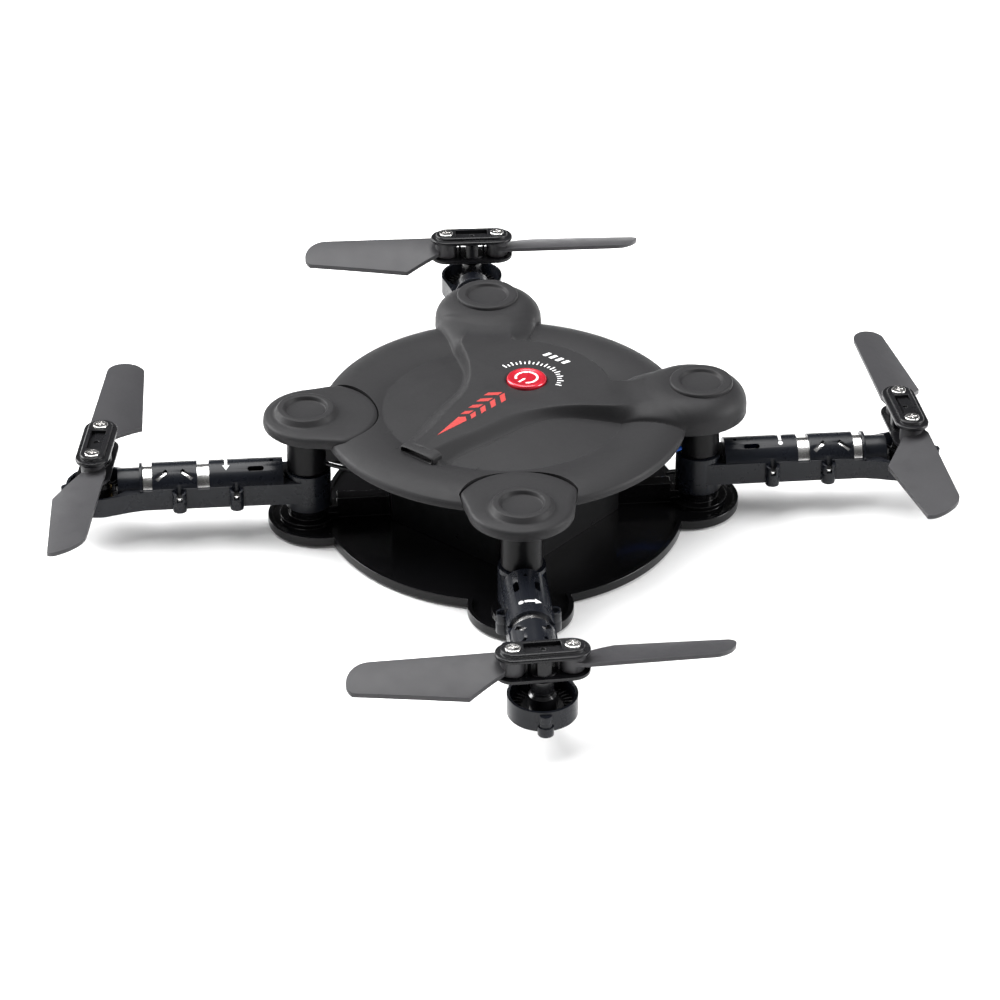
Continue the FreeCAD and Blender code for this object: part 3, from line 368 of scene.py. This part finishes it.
def skin(x, y):
    """Height of the shell's upper surface: rim, crest, valley and low dome, with the ridge on them."""
    reach = np.hypot(x, y)
    inward = np.clip((CREST_RADIUS - reach) / (CREST_RADIUS - VALLEY_RADIUS), 0, 1)
    outward = np.maximum(reach - CREST_RADIUS, 0) / (DISC_RADIUS - CREST_RADIUS)
    inner = CREST_Z - (CREST_Z - VALLEY_Z) * inward ** CREST_INWARD
    outer = CREST_Z - (CREST_Z - RIM_Z) * outward ** CREST_OUTWARD
    dome = VALLEY_Z + (DOME_Z - VALLEY_Z) * (1 - (reach / VALLEY_RADIUS) ** 2)
    disc = np.where(reach > CREST_RADIUS, outer, np.where(reach > VALLEY_RADIUS, inner, dome))
    disc = disc - RIM_ROUND * step(reach, DISC_RADIUS - RIM_WIDTH, DISC_RADIUS)
    depth = outline_depth(x, y)
    # the flank is wide beside the spine, short beside the legs, sheer behind them, and full at the bosses
    run = SPINE_FLANK - (SPINE_FLANK - LEG_FLANK) * step(y, -7.0, 5.0)
    run = np.where((y > np.abs(x)) & (y > 3.0), REAR_FLANK, run)
    along = np.maximum(*(x * OUTWARD[c][0] + y * OUTWARD[c][1] for c in REAR))
    near = step(along, 19.0, 27.5)
    run = run * (1 - near) + BOSS_FLANK * near
    share = np.clip(depth / run, 0, 1)
    rise = 1 - (1 - share ** FLANK_FOOT) ** FLANK_SHOULDER
    rise = rise * (1 - near) + np.sqrt(1 - (1 - share) ** 2) * near
    spine = step(-y, -4.0, 3.0)
    crown = SPINE_CROWN * spine * step(depth, 1.5, 6.0)
    top = RIDGE_TOP + np.minimum(0.0, (y - FALL_START) * RIDGE_FALL) + crown
    necks = np.zeros_like(x)
    for corner in REAR:
        cx, cy = OUTWARD[corner] * BOSS_CENTRE
        necks = necks + np.exp(-((np.hypot(x - cx, y - cy) - NECK_AWAY) / NECK_WIDTH) ** 2)
    top = top - NECK_DIP * necks
    nose = step(y, NOSE_Y - 0.5, NOSE_Y + 0.4)
    height = disc + nose * ((top - disc) * rise + FOOT_STEP * step(depth, 0.0, 0.15) * (1 - rise))
    for corner in REAR:
        cx, cy = OUTWARD[corner] * BOSS_CENTRE
        away = np.hypot(x - cx, y - cy)
        rounding = np.clip((away - BOSS_FLAT) / (BOSS_RADIUS - BOSS_FLAT), 0, 1)
        ball = RING_FOOT - BOSS_DROP * (1 - np.sqrt(1 - rounding ** 2))
        ball = np.where(away > BOSS_RADIUS, RING_FOOT - BOSS_DROP - (away - BOSS_RADIUS) * 5, ball)
        height = smooth_max(ball, height, BOSS_BLEND)
        fx, fy = FOLD[corner]
        away = np.hypot(x - fx, y - fy)
        height = np.where(away < RING_RADIUS + 1.0, np.minimum(height, RING_FOOT), height)
        height = np.where(away < RING_RADIUS - 0.3, RING_BED, height)
    return height


def ray_out(angle, centre, radius):
    """Far and near distance from the button's axis to a circle, or None where the ray misses it."""
    way = np.array([math.cos(angle), math.sin(angle)])
    to = np.array(centre) - BUTTON
    along = to @ way
    left = radius ** 2 - (to @ to - along ** 2)
    if left < 0:
        return None
    return along + math.sqrt(left), along - math.sqrt(left)


def pad_corner_angle(corner, side):
    """Direction and distance, from the button's axis, of a front pad's inner corner."""
    centre = OUTWARD[corner] * BOSS_CENTRE
    grown = PAD_INNER + GAP
    point = (centre + OUTWARD[corner] * grown * math.cos(PAD_LEAN)
             + SIDEWAYS[corner] * side * grown * math.sin(PAD_LEAN)) - BUTTON
    return math.atan2(point[1], point[0]), math.hypot(*point)


def pad_side_turn(corner, side):
    """How far the pad's straight side turns by the disc's rim, seen from the button's axis."""
    centre = OUTWARD[corner] * BOSS_CENTRE
    out, across = OUTWARD[corner], SIDEWAYS[corner] * side
    a = centre + (PAD_INNER + GAP) * (out * math.cos(PAD_LEAN) + across * math.sin(PAD_LEAN))
    b = centre + (PAD_OUTER + GAP) * (out * math.cos(PAD_MEET) + across * math.sin(PAD_MEET))
    share = next(t for t in np.linspace(0, 1, 400) if np.hypot(*(a + t * (b - a))) >= DISC_RADIUS)
    rim = a + share * (b - a) - BUTTON
    first = pad_corner_angle(corner, side)[0]
    return math.atan2(rim[1], rim[0]) - first


def top_shell():
    """The whole shell as one closed grid.

    Each column runs from the button's hole over the skin to the rim, back along the inside to the
    stem's hole, and up to the seat. The edges of a front pad's cut-out are doubled columns.
    """
    notches = []
    for corner in reversed(FRONT):
        ends = sorted(pad_corner_angle(corner, side) + (pad_side_turn(corner, side),) for side in (-1, 1))
        notches.append((corner, ends[0], ends[1]))
    count = 1080
    plain = list(np.linspace(-math.pi, math.pi, count, endpoint=False))
    edges = [end[0] for _, low, high in notches for end in (low, high)]
    columns = [(a, None) for a in plain if min(abs(a - e) for e in edges) > 1e-3]
    for corner, low, high in notches:
        columns = [(a, corner if low[0] < a < high[0] else notch) for a, notch in columns]
        columns += [(low[0], None), (low[0], corner), (high[0], corner), (high[0], None)]
    columns.sort(key=lambda column: column[0])
    # at each doubled edge the plain column comes first on the way in, and last on the way out
    for _, low, high in notches:
        for end, entering in ((low, True), (high, False)):
            spots = [i for i, c in enumerate(columns) if c[0] == end[0]]
            pair = sorted((columns[i] for i in spots), key=lambda c: (c[1] is not None) == entering)
            for i, value in zip(spots, pair):
                columns[i] = value
    inner_rings, outer_rings, floor_rings = 165, 14, 40
    share_at = {}
    for _, low, high in notches:
        for end in (low, high):
            share_at[end[0]] = end[1] / ray_out(end[0], (0, 0), DISC_RADIUS)[0]
    loops = []
    for angle, notch in columns:
        rim = ray_out(angle, (0, 0), DISC_RADIUS)[0]
        for corner in REAR:
            hit = ray_out(angle, OUTWARD[corner] * BOSS_CENTRE, BOSS_RADIUS)
            if hit and math.cos(angle) * OUTWARD[corner][0] > 0:
                rim = max(rim, hit[0])
        if notch:
            split = ray_out(angle, OUTWARD[notch] * BOSS_CENTRE, PAD_INNER + GAP)[1]
        else:
            known = sorted(share_at.items())
            split = rim * float(np.interp(angle, [k for k, _ in known], [v for _, v in known]))
        turn = 0.0
        for _, low, high in notches:
            for end in (low, high):
                reach = 1 - min(1.0, abs(angle - end[0]) / NOTCH_REACH)
                turn += end[2] * reach
        way = np.array([math.cos(angle), math.sin(angle)])
        radii = [BUTTON_HOLE + (split - BUTTON_HOLE) * t for t in np.linspace(0, 1, inner_rings)]
        upper = [BUTTON + way * r for r in radii]
        outer = []
        for t in np.linspace(0, 1, outer_rings):
            bent = angle + turn * t
            full = ray_out(bent, (0, 0), DISC_RADIUS)[0] if turn else rim
            r = split + (full - split) * t
            outer.append(BUTTON + r * np.array([math.cos(bent), math.sin(bent)]))
        last = outer[-1] - BUTTON
        last_length = math.hypot(*last)
        bottom = [BUTTON + last * s for s in
                  [1.0, 1 - LIP / last_length, 1 - (LIP + 0.01) / last_length]
                  + list(np.linspace(1 - (LIP + 0.6) / last_length, STEM_HOLE / last_length, floor_rings))]
        seat = [BUTTON + way * STEM_HOLE, BUTTON + way * BUTTON_HOLE]
        loops.append((upper, outer, bottom, seat, notch is not None))
    upper, outer, bottom, seat, notched = (np.array(part) for part in zip(*loops))
    z_upper = skin(upper[..., 0], upper[..., 1])
    distance = np.hypot(upper[..., 0] - BUTTON[0], upper[..., 1] - BUTTON[1]) - BUTTON_HOLE
    z_upper = z_upper - HOLE_DROP * (1 - step(distance, 0.0, HOLE_ROUND))
    z_outer = np.where(notched[:, None], SHELF_Z, skin(outer[..., 0], outer[..., 1]))
    z_bottom = np.full(bottom.shape[:2], DISC_INSIDE)
    z_bottom[:, :2] = DISC_BOTTOM
    for corner in REAR:
        cx, cy = OUTWARD[corner] * BOSS_CENTRE
        away = np.hypot(bottom[..., 0] - cx, bottom[..., 1] - cy)
        solid = step(-away, -BOSS_RADIUS - 0.1, -BOSS_RADIUS + 0.4)
        z_bottom = z_bottom + (BOSS_BOTTOM - z_bottom) * solid
    z_seat = np.full(seat.shape[:2], BUTTON_SEAT)

    def joined(flat, z):
        return np.concatenate([flat, z[..., None]], axis=2)

    grid = np.concatenate([joined(upper, z_upper), joined(outer, z_outer), joined(bottom, z_bottom),
                           joined(seat, z_seat)], axis=1)
    rows, ring = grid.shape[:2]
    faces = grid_faces(rows, ring, closed_rows=True, closed_columns=True)
    obj = piece("top_shell_skin", grid.reshape(-1, 3), faces, FINISH["shell_matte"], "body", sharp=58)
    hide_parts("top_shell")


top_shell()


def turned_rings(rings, count, centre=(0.0, 0.0)):
    """Points of a closed surface from (radius or radii, z) rings about an upright axis."""
    angles = np.linspace(0, 2 * math.pi, count, endpoint=False)
    rows = []
    for radius, z in rings:
        radius = np.broadcast_to(radius, count)
        rows.append(np.column_stack([centre[0] + radius * np.cos(angles), centre[1] + radius * np.sin(angles),
                                     np.full(count, z)]))
    return np.array(rows)


def closed_rings(name, grid, material, body, sharp):
    """Closes the first and last ring of a stack with fans, and makes the piece."""
    rows, count = grid.shape[:2]
    points = grid.reshape(-1, 3).tolist() + [grid[0].mean(0).tolist(), grid[-1].mean(0).tolist()]
    faces = grid_faces(rows, count, closed_columns=True)
    for first, middle in ((0, rows * count), ((rows - 1) * count, rows * count + 1)):
        faces += [(first + j, first + (j + 1) % count, middle) for j in range(count)]
    return piece(name, points, faces, material, body, sharp=sharp)


# ---- a fine bead along the ridge's foot ----
BEAD, BEAD_SINK = 0.13, 0.02


def edge_bead(name, path):
    """Fine moulded bead along a line on the shell's upper surface."""
    path = np.array(path)
    run = np.gradient(path, axis=0)
    run /= np.linalg.norm(run, axis=1)[:, None]
    across = np.column_stack([-run[:, 1], run[:, 0]])
    height = skin(path[:, 0], path[:, 1]) - BEAD_SINK
    rows = []
    for turn in np.linspace(0, 2 * math.pi, 8, endpoint=False):
        side, up = BEAD * math.cos(turn), BEAD * 0.6 * math.sin(turn)
        rows.append(np.column_stack([path + across * side, height + up]))
    grid = np.array(rows).transpose(1, 0, 2)
    bead = closed_rings(name, grid, FINISH["shell_matte"], "body", sharp=60)


for side, word in ((1, "left"), (-1, "right")):
    foot = curve_through([(side * x, y) for x, y in RIDGE_SIDE[1:9]], 8)
    edge_bead("ridge_foot_" + word, foot)


# ---- front post caps: shield-shaped pads with a raised, dished ring ----
def pad_radii(corner, count):
    """Distance from the fold axis to the pad's edge, its corners eased."""
    centre = BOSS_CENTRE - math.hypot(*FOLD[corner])
    inward = [(centre + PAD_INNER * math.cos(a), PAD_INNER * math.sin(a))
              for a in np.linspace(PAD_LEAN, math.pi, 120)]
    outward = [(centre + PAD_OUTER * math.cos(a), PAD_OUTER * math.sin(a))
               for a in np.linspace(0, PAD_MEET, 120)]
    side = [tuple(np.array(outward[-1]) * (1 - t) + np.array(inward[0]) * t)
            for t in np.linspace(0, 1, 60)]
    half = np.array(outward + side + inward)
    angle = np.arctan2(half[:, 1], half[:, 0])
    order = np.argsort(angle)
    ask = np.linspace(0, 2 * math.pi, count, endpoint=False)
    folded = np.abs((ask + math.pi) % (2 * math.pi) - math.pi)
    radii = np.interp(folded, angle[order], np.hypot(half[:, 0], half[:, 1])[order])
    width = count // 72
    weights = np.hanning(2 * width + 3)[1:-1]
    return sum(w * np.roll(radii, k) for k, w in zip(range(-width, width + 1), weights)) / weights.sum()


PAD_RING_FOOT, PAD_ROUND = 6.25, 0.9
for corner in FRONT:
    count = 360
    edge = pad_radii(corner, count)
    facing = math.atan2(OUTWARD[corner][1], OUTWARD[corner][0])
    rings = [(0.4, 24.0), (3.45, 24.0), (3.68, 24.04), (3.8, 24.2), (3.98, 24.66), (4.12, 24.77),
             (4.35, 24.8), (4.95, 24.8), (5.15, 24.76), (5.3, 24.64), (5.72, 23.86), (5.92, 23.7),
             (PAD_RING_FOOT, 23.62)]
    for share, z in ((0.25, 23.6), (0.5, 23.56), (0.75, 23.5)):
        rings.append((PAD_RING_FOOT + (edge - PAD_ROUND - PAD_RING_FOOT) * share, z))
    rings += [(edge - PAD_ROUND, 23.42), (edge - 0.55, 23.33), (edge - 0.28, 23.17), (edge - 0.1, 22.93),
              (edge - 0.03, 22.65), (edge, 22.3), (edge, SHELF_Z + 0.15), (edge - 0.15, SHELF_Z),
              (edge * 0.6, SHELF_Z), (0.4, SHELF_Z)]
    grid = turned_rings(rings, count)
    x, y = grid[..., 0].copy(), grid[..., 1].copy()
    grid[..., 0] = FOLD[corner][0] + x * math.cos(facing) - y * math.sin(facing)
    grid[..., 1] = FOLD[corner][1] + x * math.sin(facing) + y * math.cos(facing)
    pad = closed_rings("front_pad_" + corner, grid, FINISH["shell_matte"], "body", sharp=45)
    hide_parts("front_post_caps")

# ---- dished rings on the rear bosses ----
for corner in REAR:
    rings = [(0.3, 26.35), (3.5, 26.35), (3.72, 26.39), (3.86, 26.55), (4.02, 26.86), (4.16, 26.96),
             (4.4, 27.0), (5.4, 27.0), (5.6, 26.97), (5.74, 26.88), (5.82, 26.72), (5.87, 26.45),
             (5.87, 26.2), (0.3, 26.2)]
    ring = closed_rings("rear_ring_" + corner, turned_rings(rings, 144, FOLD[corner]), FINISH["shell_matte"],
                        "body", sharp=50)

# ---- power button: eased edge and a shallow dish under the symbol ----
CAP_TOP, STEM_FOOT = button_high.z / MM, button_low.z / MM
STEM, CAP_FOOT, CAP_DISH = 1.2, 23.9, 0.1
rings = [(0.3, STEM_FOOT), (STEM, STEM_FOOT), (STEM, CAP_FOOT), (CAP - 0.15, CAP_FOOT),
         (CAP, CAP_FOOT + 0.15), (CAP, CAP_TOP - 0.5), (CAP - 0.03, CAP_TOP - 0.32),
         (CAP - 0.12, CAP_TOP - 0.15), (CAP - 0.27, CAP_TOP - 0.04), (CAP - 0.45, CAP_TOP),
         (CAP - 0.8, CAP_TOP - 0.01), (CAP - 0.95, CAP_TOP - 0.07), (CAP - 1.6, CAP_TOP - CAP_DISH),
         (0.3, CAP_TOP - CAP_DISH)]
cap = closed_rings("button_cap", turned_rings(rings, 160, BUTTON), FINISH["button_red"], "button", sharp=50)
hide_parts("power_button")


# ---- nose: the slot's rolled lip and the smoked window inside it ----
def slot_ring(y, half, low, high, count=96):
    """Rounded outline across the nose, leaning back as it rises."""
    angles = np.linspace(0, 2 * math.pi, count, endpoint=False)
    c, s = np.cos(angles), np.sin(angles)
    x = half * np.sign(c) * np.sqrt(np.abs(c))
    z = (low + high) / 2 + (high - low) / 2 * np.sign(s) * np.sqrt(np.abs(s))
    return np.column_stack([x, np.full(count, y) - 0.06 * (z - low), z])


# each ring: y, half width, and its lowest and highest z
lip = [(-22.0, 3.95, 22.75, 24.93), (-23.6, 3.93, 22.8, 24.84), (-24.2, 3.9, 22.86, 24.78),
       (-24.45, 3.82, 22.98, 24.7), (-24.55, 3.68, 23.1, 24.6), (-24.5, 3.58, 23.2, 24.5),
       (-24.3, 3.52, 23.28, 24.42), (-23.2, 3.45, 23.36, 24.34), (-22.6, 3.45, 23.36, 24.34)]
nose = closed_rings("nose_lip", np.array([slot_ring(*ring) for ring in lip]), FINISH["shell_matte"], "body",
                    sharp=60)
pane = [(-22.7, 3.35, 23.4, 24.3), (-23.2, 3.42, 23.38, 24.32), (-23.34, 3.35, 23.42, 24.28),
        (-23.4, 3.2, 23.5, 24.2), (-23.42, 1.6, 23.7, 24.0)]
window = closed_rings("nose_window_face", np.array([slot_ring(*ring) for ring in pane]),
                      FINISH["smoked_window"], "body", sharp=60)
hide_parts("nose_window")


# ---- printed markings: thin films that follow the surface ----
LONGEST_EDGE = 0.5            # of a film's triangles, so that it follows a curved surface


def film(name, outlines, place, material, body, thickness=0.03, cuts=5):
    """Closed outlines in a flat (u, v) plane, laid on a surface by place(u, v, lift)."""
    points, faces = [], []
    for outline in outlines:
        flat = bmesh.new()
        corners = [flat.verts.new((u, v, 0)) for u, v in outline]
        flat.faces.new(corners)
        bmesh.ops.triangulate(flat, faces=flat.faces)
        longest = max(edge.calc_length() for edge in flat.edges)
        for _ in range(cuts):
            if longest < LONGEST_EDGE:
                break
            long_edges = [edge for edge in flat.edges if edge.calc_length() > LONGEST_EDGE]
            bmesh.ops.subdivide_edges(flat, edges=long_edges, cuts=1)
            bmesh.ops.triangulate(flat, faces=flat.faces)
            longest = max(edge.calc_length() for edge in flat.edges)
        flat.verts.index_update()
        start = len(points)
        count = len(flat.verts)
        u = np.array([v.co.x for v in flat.verts])
        v = np.array([v.co.y for v in flat.verts])
        points += list(place(u, v, thickness)) + list(place(u, v, -thickness))
        for face in flat.faces:
            ids = [start + v.index for v in face.verts]
            faces.append(tuple(ids))
            faces.append(tuple(i + count for i in reversed(ids)))
        for edge in flat.edges:
            if len(edge.link_faces) == 1:
                a, b = (start + v.index for v in edge.verts)
                faces.append((a, b, b + count, a + count))
        flat.free()
    return piece(name, points, faces, material, body)


def on_shell(u, v, lift):
    return np.stack([u, v, skin(u, v) + lift], 1)


ARROW_X = -0.15               # the spine's marking sits a little to one side
ARROW_TIP, ARROW_BACK, ARROW_HALF, ARROW_NOTCH = -18.6, -11.6, 1.0, 0.9
FEATHERS, FEATHER_START, FEATHER_PITCH = 4, 2.0, 2.75
FEATHER_WIDTH, FEATHER_GROWTH, FEATHER_SWEEP = 1.12, 0.26, 0.9
FEATHER_GAP, FEATHER_ROOT, FEATHER_TIP = 0.2, 1.4, 1.28


def arrow_outlines():
    """Arrowhead and four pairs of feathers that widen to the rear."""
    outlines = [[(ARROW_X, ARROW_TIP), (ARROW_X + ARROW_HALF, ARROW_BACK),
                 (ARROW_X, ARROW_BACK + ARROW_NOTCH), (ARROW_X - ARROW_HALF, ARROW_BACK)]]
    for i in range(FEATHERS):
        base = ARROW_BACK + FEATHER_START + i * FEATHER_PITCH
        wide = FEATHER_WIDTH + FEATHER_GROWTH * i
        slant = wide * FEATHER_SWEEP
        for side in (-1, 1):
            near = ARROW_X + side * FEATHER_GAP
            far = ARROW_X + side * (FEATHER_GAP + wide)
            outline = [(near, base), (far, base - slant), (far, base - slant + FEATHER_TIP),
                       (near, base + FEATHER_ROOT)]
            outlines.append(outline if side > 0 else outline[::-1])
    return outlines


film("spine_arrow", arrow_outlines(), on_shell, PAINT["salmon"], "body")

ICON_Z = CAP_TOP - CAP_DISH
ICON_RADIUS, ICON_STROKE = 2.0, 0.42
STROKE_HALF, STROKE_FAR, STROKE_NEAR = 0.2, 2.2, 0.5


def arc_outline(centre, start, end, count=4):
    """Outline of part of the symbol's arc, between two angles in degrees."""
    angles = np.radians(np.linspace(start, end, count + 1))
    way = np.column_stack([np.cos(angles), np.sin(angles)])
    outside = centre + way * (ICON_RADIUS + ICON_STROKE / 2)
    inside = centre + way * (ICON_RADIUS - ICON_STROKE / 2)
    return outside.tolist() + inside[::-1].tolist()


def on_button(u, v, lift):
    return np.stack([u, v, np.full_like(u, ICON_Z + lift)], 1)


# the arc is laid as ten strips, and is open towards the nose, where a straight stroke stands
icon = [arc_outline(BUTTON, start, start + 29) for start in range(-55, 235, 29)]
low, high = BUTTON[0] - STROKE_HALF, BUTTON[0] + STROKE_HALF
far, near = BUTTON[1] - STROKE_FAR, BUTTON[1] - STROKE_NEAR
icon.append([(low, far), (high, far), (high, near), (low, near)])
film("power_symbol", icon, on_button, PAINT["white"], "button", thickness=0.02)

# a plain dial of ticks and a row of bars behind the button stand where the maker's lettering is
TICK_HALF, TICK_START, TICK_END, LONG_TICK_END = 0.13, 5.7, 6.5, 6.9
ticks = []
for angle in np.arange(20, 171, 7.5):
    way = np.array([math.cos(math.radians(angle)), math.sin(math.radians(angle))])
    across = np.array([-way[1], way[0]]) * TICK_HALF
    tick_end = LONG_TICK_END if round(angle * 2) % 30 == 10 else TICK_END
    a, b = BUTTON + way * TICK_START, BUTTON + way * tick_end
    ticks.append([tuple(a - across), tuple(b - across), tuple(b + across), tuple(a + across)])
film("dial_ticks", ticks, on_shell, PAINT["white"], "body")

BARS, BAR_START, BAR_PITCH = 4, -3.6, 1.5
BAR_LOW, BAR_HIGH, BAR_WIDE, BAR_SLANT = 15.4, 16.9, 0.75, 0.4
bars = []
for i in range(BARS):
    x = BAR_START + i * BAR_PITCH
    bars.append([(x, BAR_LOW), (x + BAR_WIDE, BAR_LOW), (x + BAR_WIDE + BAR_SLANT, BAR_HIGH),
                 (x + BAR_SLANT, BAR_HIGH)])
film("rear_bars", bars, on_shell, PAINT["white"], "body")

# ---- rotation arrows round the arms ----
MARK_PLACE = 15.05            # along the arm from its fold axis
HEAD_TIP, HEAD_BACK, HEAD_HALF = 2.15, 1.0, 0.72
SHAFT_START, SHAFT_END, SHAFT_HALF = -0.9, 1.05, 0.27
DOT_PLACE, DOT_RADIUS = -1.55, 0.45
tube_low, tube_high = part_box("motor_front_left")
MOTOR_Z = (tube_low.z + tube_high.z) / 2 / MM
SLEEVE_RADIUS = 4.12


def turning_arrow(corner):
    """Dot, shaft and head, wrapped round the sleeve. u runs along the arm and v round it."""
    out, across = OUTWARD[corner], SIDEWAYS[corner]

    def place(u, v, lift):
        turn = v / SLEEVE_RADIUS
        radius = SLEEVE_RADIUS + lift
        flat = FOLD[corner] + np.outer(u, out) + np.outer(radius * np.sin(turn), across)
        return np.column_stack([flat, MOTOR_Z + radius * np.cos(turn)])

    low, high = MARK_PLACE - SHAFT_HALF, MARK_PLACE + SHAFT_HALF
    head = [(MARK_PLACE, HEAD_TIP), (MARK_PLACE - HEAD_HALF, HEAD_BACK), (MARK_PLACE + HEAD_HALF, HEAD_BACK)]
    shaft = [(low, SHAFT_START), (high, SHAFT_START), (high, SHAFT_END), (low, SHAFT_END)]
    dot = [(MARK_PLACE + DOT_RADIUS * math.cos(t), DOT_PLACE + DOT_RADIUS * math.sin(t))
           for t in np.linspace(0, 2 * math.pi, 16, endpoint=False)]
    film("turn_arrow_" + corner, [head, shaft, dot], place, PAINT["white"], "arm_" + corner)


for corner in CORNERS:
    turning_arrow(corner)

# ---- floor, light and camera ----
FLOOR_HALF = 3.0              # metres
FLOOR_CORNERS = ((-1, -1), (1, -1), (1, 1), (-1, 1))


def pale_floor():
    mesh = bpy.data.meshes.new("floor")
    mesh.from_pydata([(x * FLOOR_HALF, y * FLOOR_HALF, 0) for x, y in FLOOR_CORNERS], [], [(0, 1, 2, 3)])
    material, tree = new_tree("studio_floor")
    place = node(tree, "ShaderNodeTexCoord").outputs["Object"]
    noise = node(tree, "ShaderNodeTexNoise", Vector=place, Scale=3.0, Detail=2.0).outputs["Fac"]
    base = node(tree, "ShaderNodeMix", {"data_type": "RGBA"}, _0=noise, _6=(0.90, 0.90, 0.90, 1.0),
                _7=(0.92, 0.92, 0.92, 1.0)).outputs[2]
    surface = node(tree, "ShaderNodeBsdfPrincipled", Base_Color=base, Roughness=0.7, Specular_IOR_Level=0.1,
                   Emission_Color=base, Emission_Strength=0.06)
    node(tree, "ShaderNodeOutputMaterial", Surface=surface.outputs[0])
    mesh.materials.append(material)
    obj = bpy.data.objects.new("floor", mesh)
    bpy.context.scene.collection.objects.link(obj)


pale_floor()

AZIMUTH, ELEVATION = math.radians(40.05), math.radians(31.607)
DISTANCE = 0.723577           # metres
AIM_SIDE, AIM_UP = -0.731, 2.841
LENS, SENSOR = 139.3, 36.0    # millimetres of the camera's own
right = Vector((math.cos(AZIMUTH), math.sin(AZIMUTH), 0))
back = Vector((math.sin(AZIMUTH) * math.cos(ELEVATION), -math.cos(AZIMUTH) * math.cos(ELEVATION),
               math.sin(ELEVATION)))
aim = right * AIM_SIDE * MM + Vector((0, 0, AIM_UP * MM))


def add_camera():
    data = bpy.data.cameras.new("camera")
    data.lens = LENS
    data.sensor_width = SENSOR
    data.clip_start, data.clip_end = 0.05, 20.0
    camera = bpy.data.objects.new("camera", data)
    bpy.context.scene.collection.objects.link(camera)
    camera.location = aim + back * DISTANCE
    camera.rotation_mode = "QUATERNION"
    camera.rotation_quaternion = (-back).to_track_quat("-Z", "Y")
    bpy.context.scene.camera = camera


def softbox(name, azimuth, elevation, distance, size, power):
    """Square area light that faces the drone; angles in degrees, lengths in metres."""
    a, e = math.radians(azimuth), math.radians(elevation)
    towards = Vector((math.sin(a) * math.cos(e), -math.cos(a) * math.cos(e), math.sin(e)))
    data = bpy.data.lights.new(name, "AREA")
    data.shape = "SQUARE"
    data.size = size
    data.energy = power
    light = bpy.data.objects.new(name, data)
    bpy.context.scene.collection.objects.link(light)
    light.location = towards * distance
    light.rotation_mode = "QUATERNION"
    light.rotation_quaternion = (-towards).to_track_quat("-Z", "Y")


def studio_world():
    """White low down to the left and right and dark elsewhere, so that gloss is black with bright edges."""
    world = bpy.data.worlds.new("studio")
    bpy.context.scene.world = world
    world.use_nodes = True
    tree = world.node_tree
    tree.nodes.clear()
    direction = node(tree, "ShaderNodeTexCoord").outputs["Generated"]
    height = node(tree, "ShaderNodeSeparateXYZ", Vector=direction).outputs[2]
    across = node(tree, "ShaderNodeVectorMath", {"operation": "DOT_PRODUCT"}, _0=direction,
                  _1=tuple(right)).outputs["Value"]
    across = node(tree, "ShaderNodeMath", {"operation": "ABSOLUTE"}, _0=across).outputs[0]
    sides = node(tree, "ShaderNodeMapRange", Value=across, From_Min=0.1, From_Max=0.9, To_Min=0.45,
                 To_Max=1.9).outputs[0]
    ramp = node(tree, "ShaderNodeValToRGB", _0=height)
    stops = ramp.color_ramp.elements
    stops[0].position, stops[0].color = 0.0, (1.0, 1.0, 1.0, 1.0)
    stops[1].position, stops[1].color = 1.0, (0.5, 0.5, 0.5, 1.0)
    for position, level in ((0.07, 0.8), (0.2, 0.1), (0.7, 0.12)):      # sine of the elevation, brightness
        stop = stops.new(position)
        stop.color = (level, level, level, 1.0)
    background = node(tree, "ShaderNodeBackground", Color=ramp.outputs[0], Strength=sides)
    node(tree, "ShaderNodeOutputWorld", Surface=background.outputs[0])


add_camera()
studio_world()
softbox("key", 250.0, 74.0, 1.3, 1.2, 28.0)
softbox("fill", 285.0, 30.0, 1.4, 0.8, 30.0)
softbox("side", 125.0, 24.0, 1.4, 0.6, 18.0)
bpy.context.scene.view_settings.view_transform = "Standard"
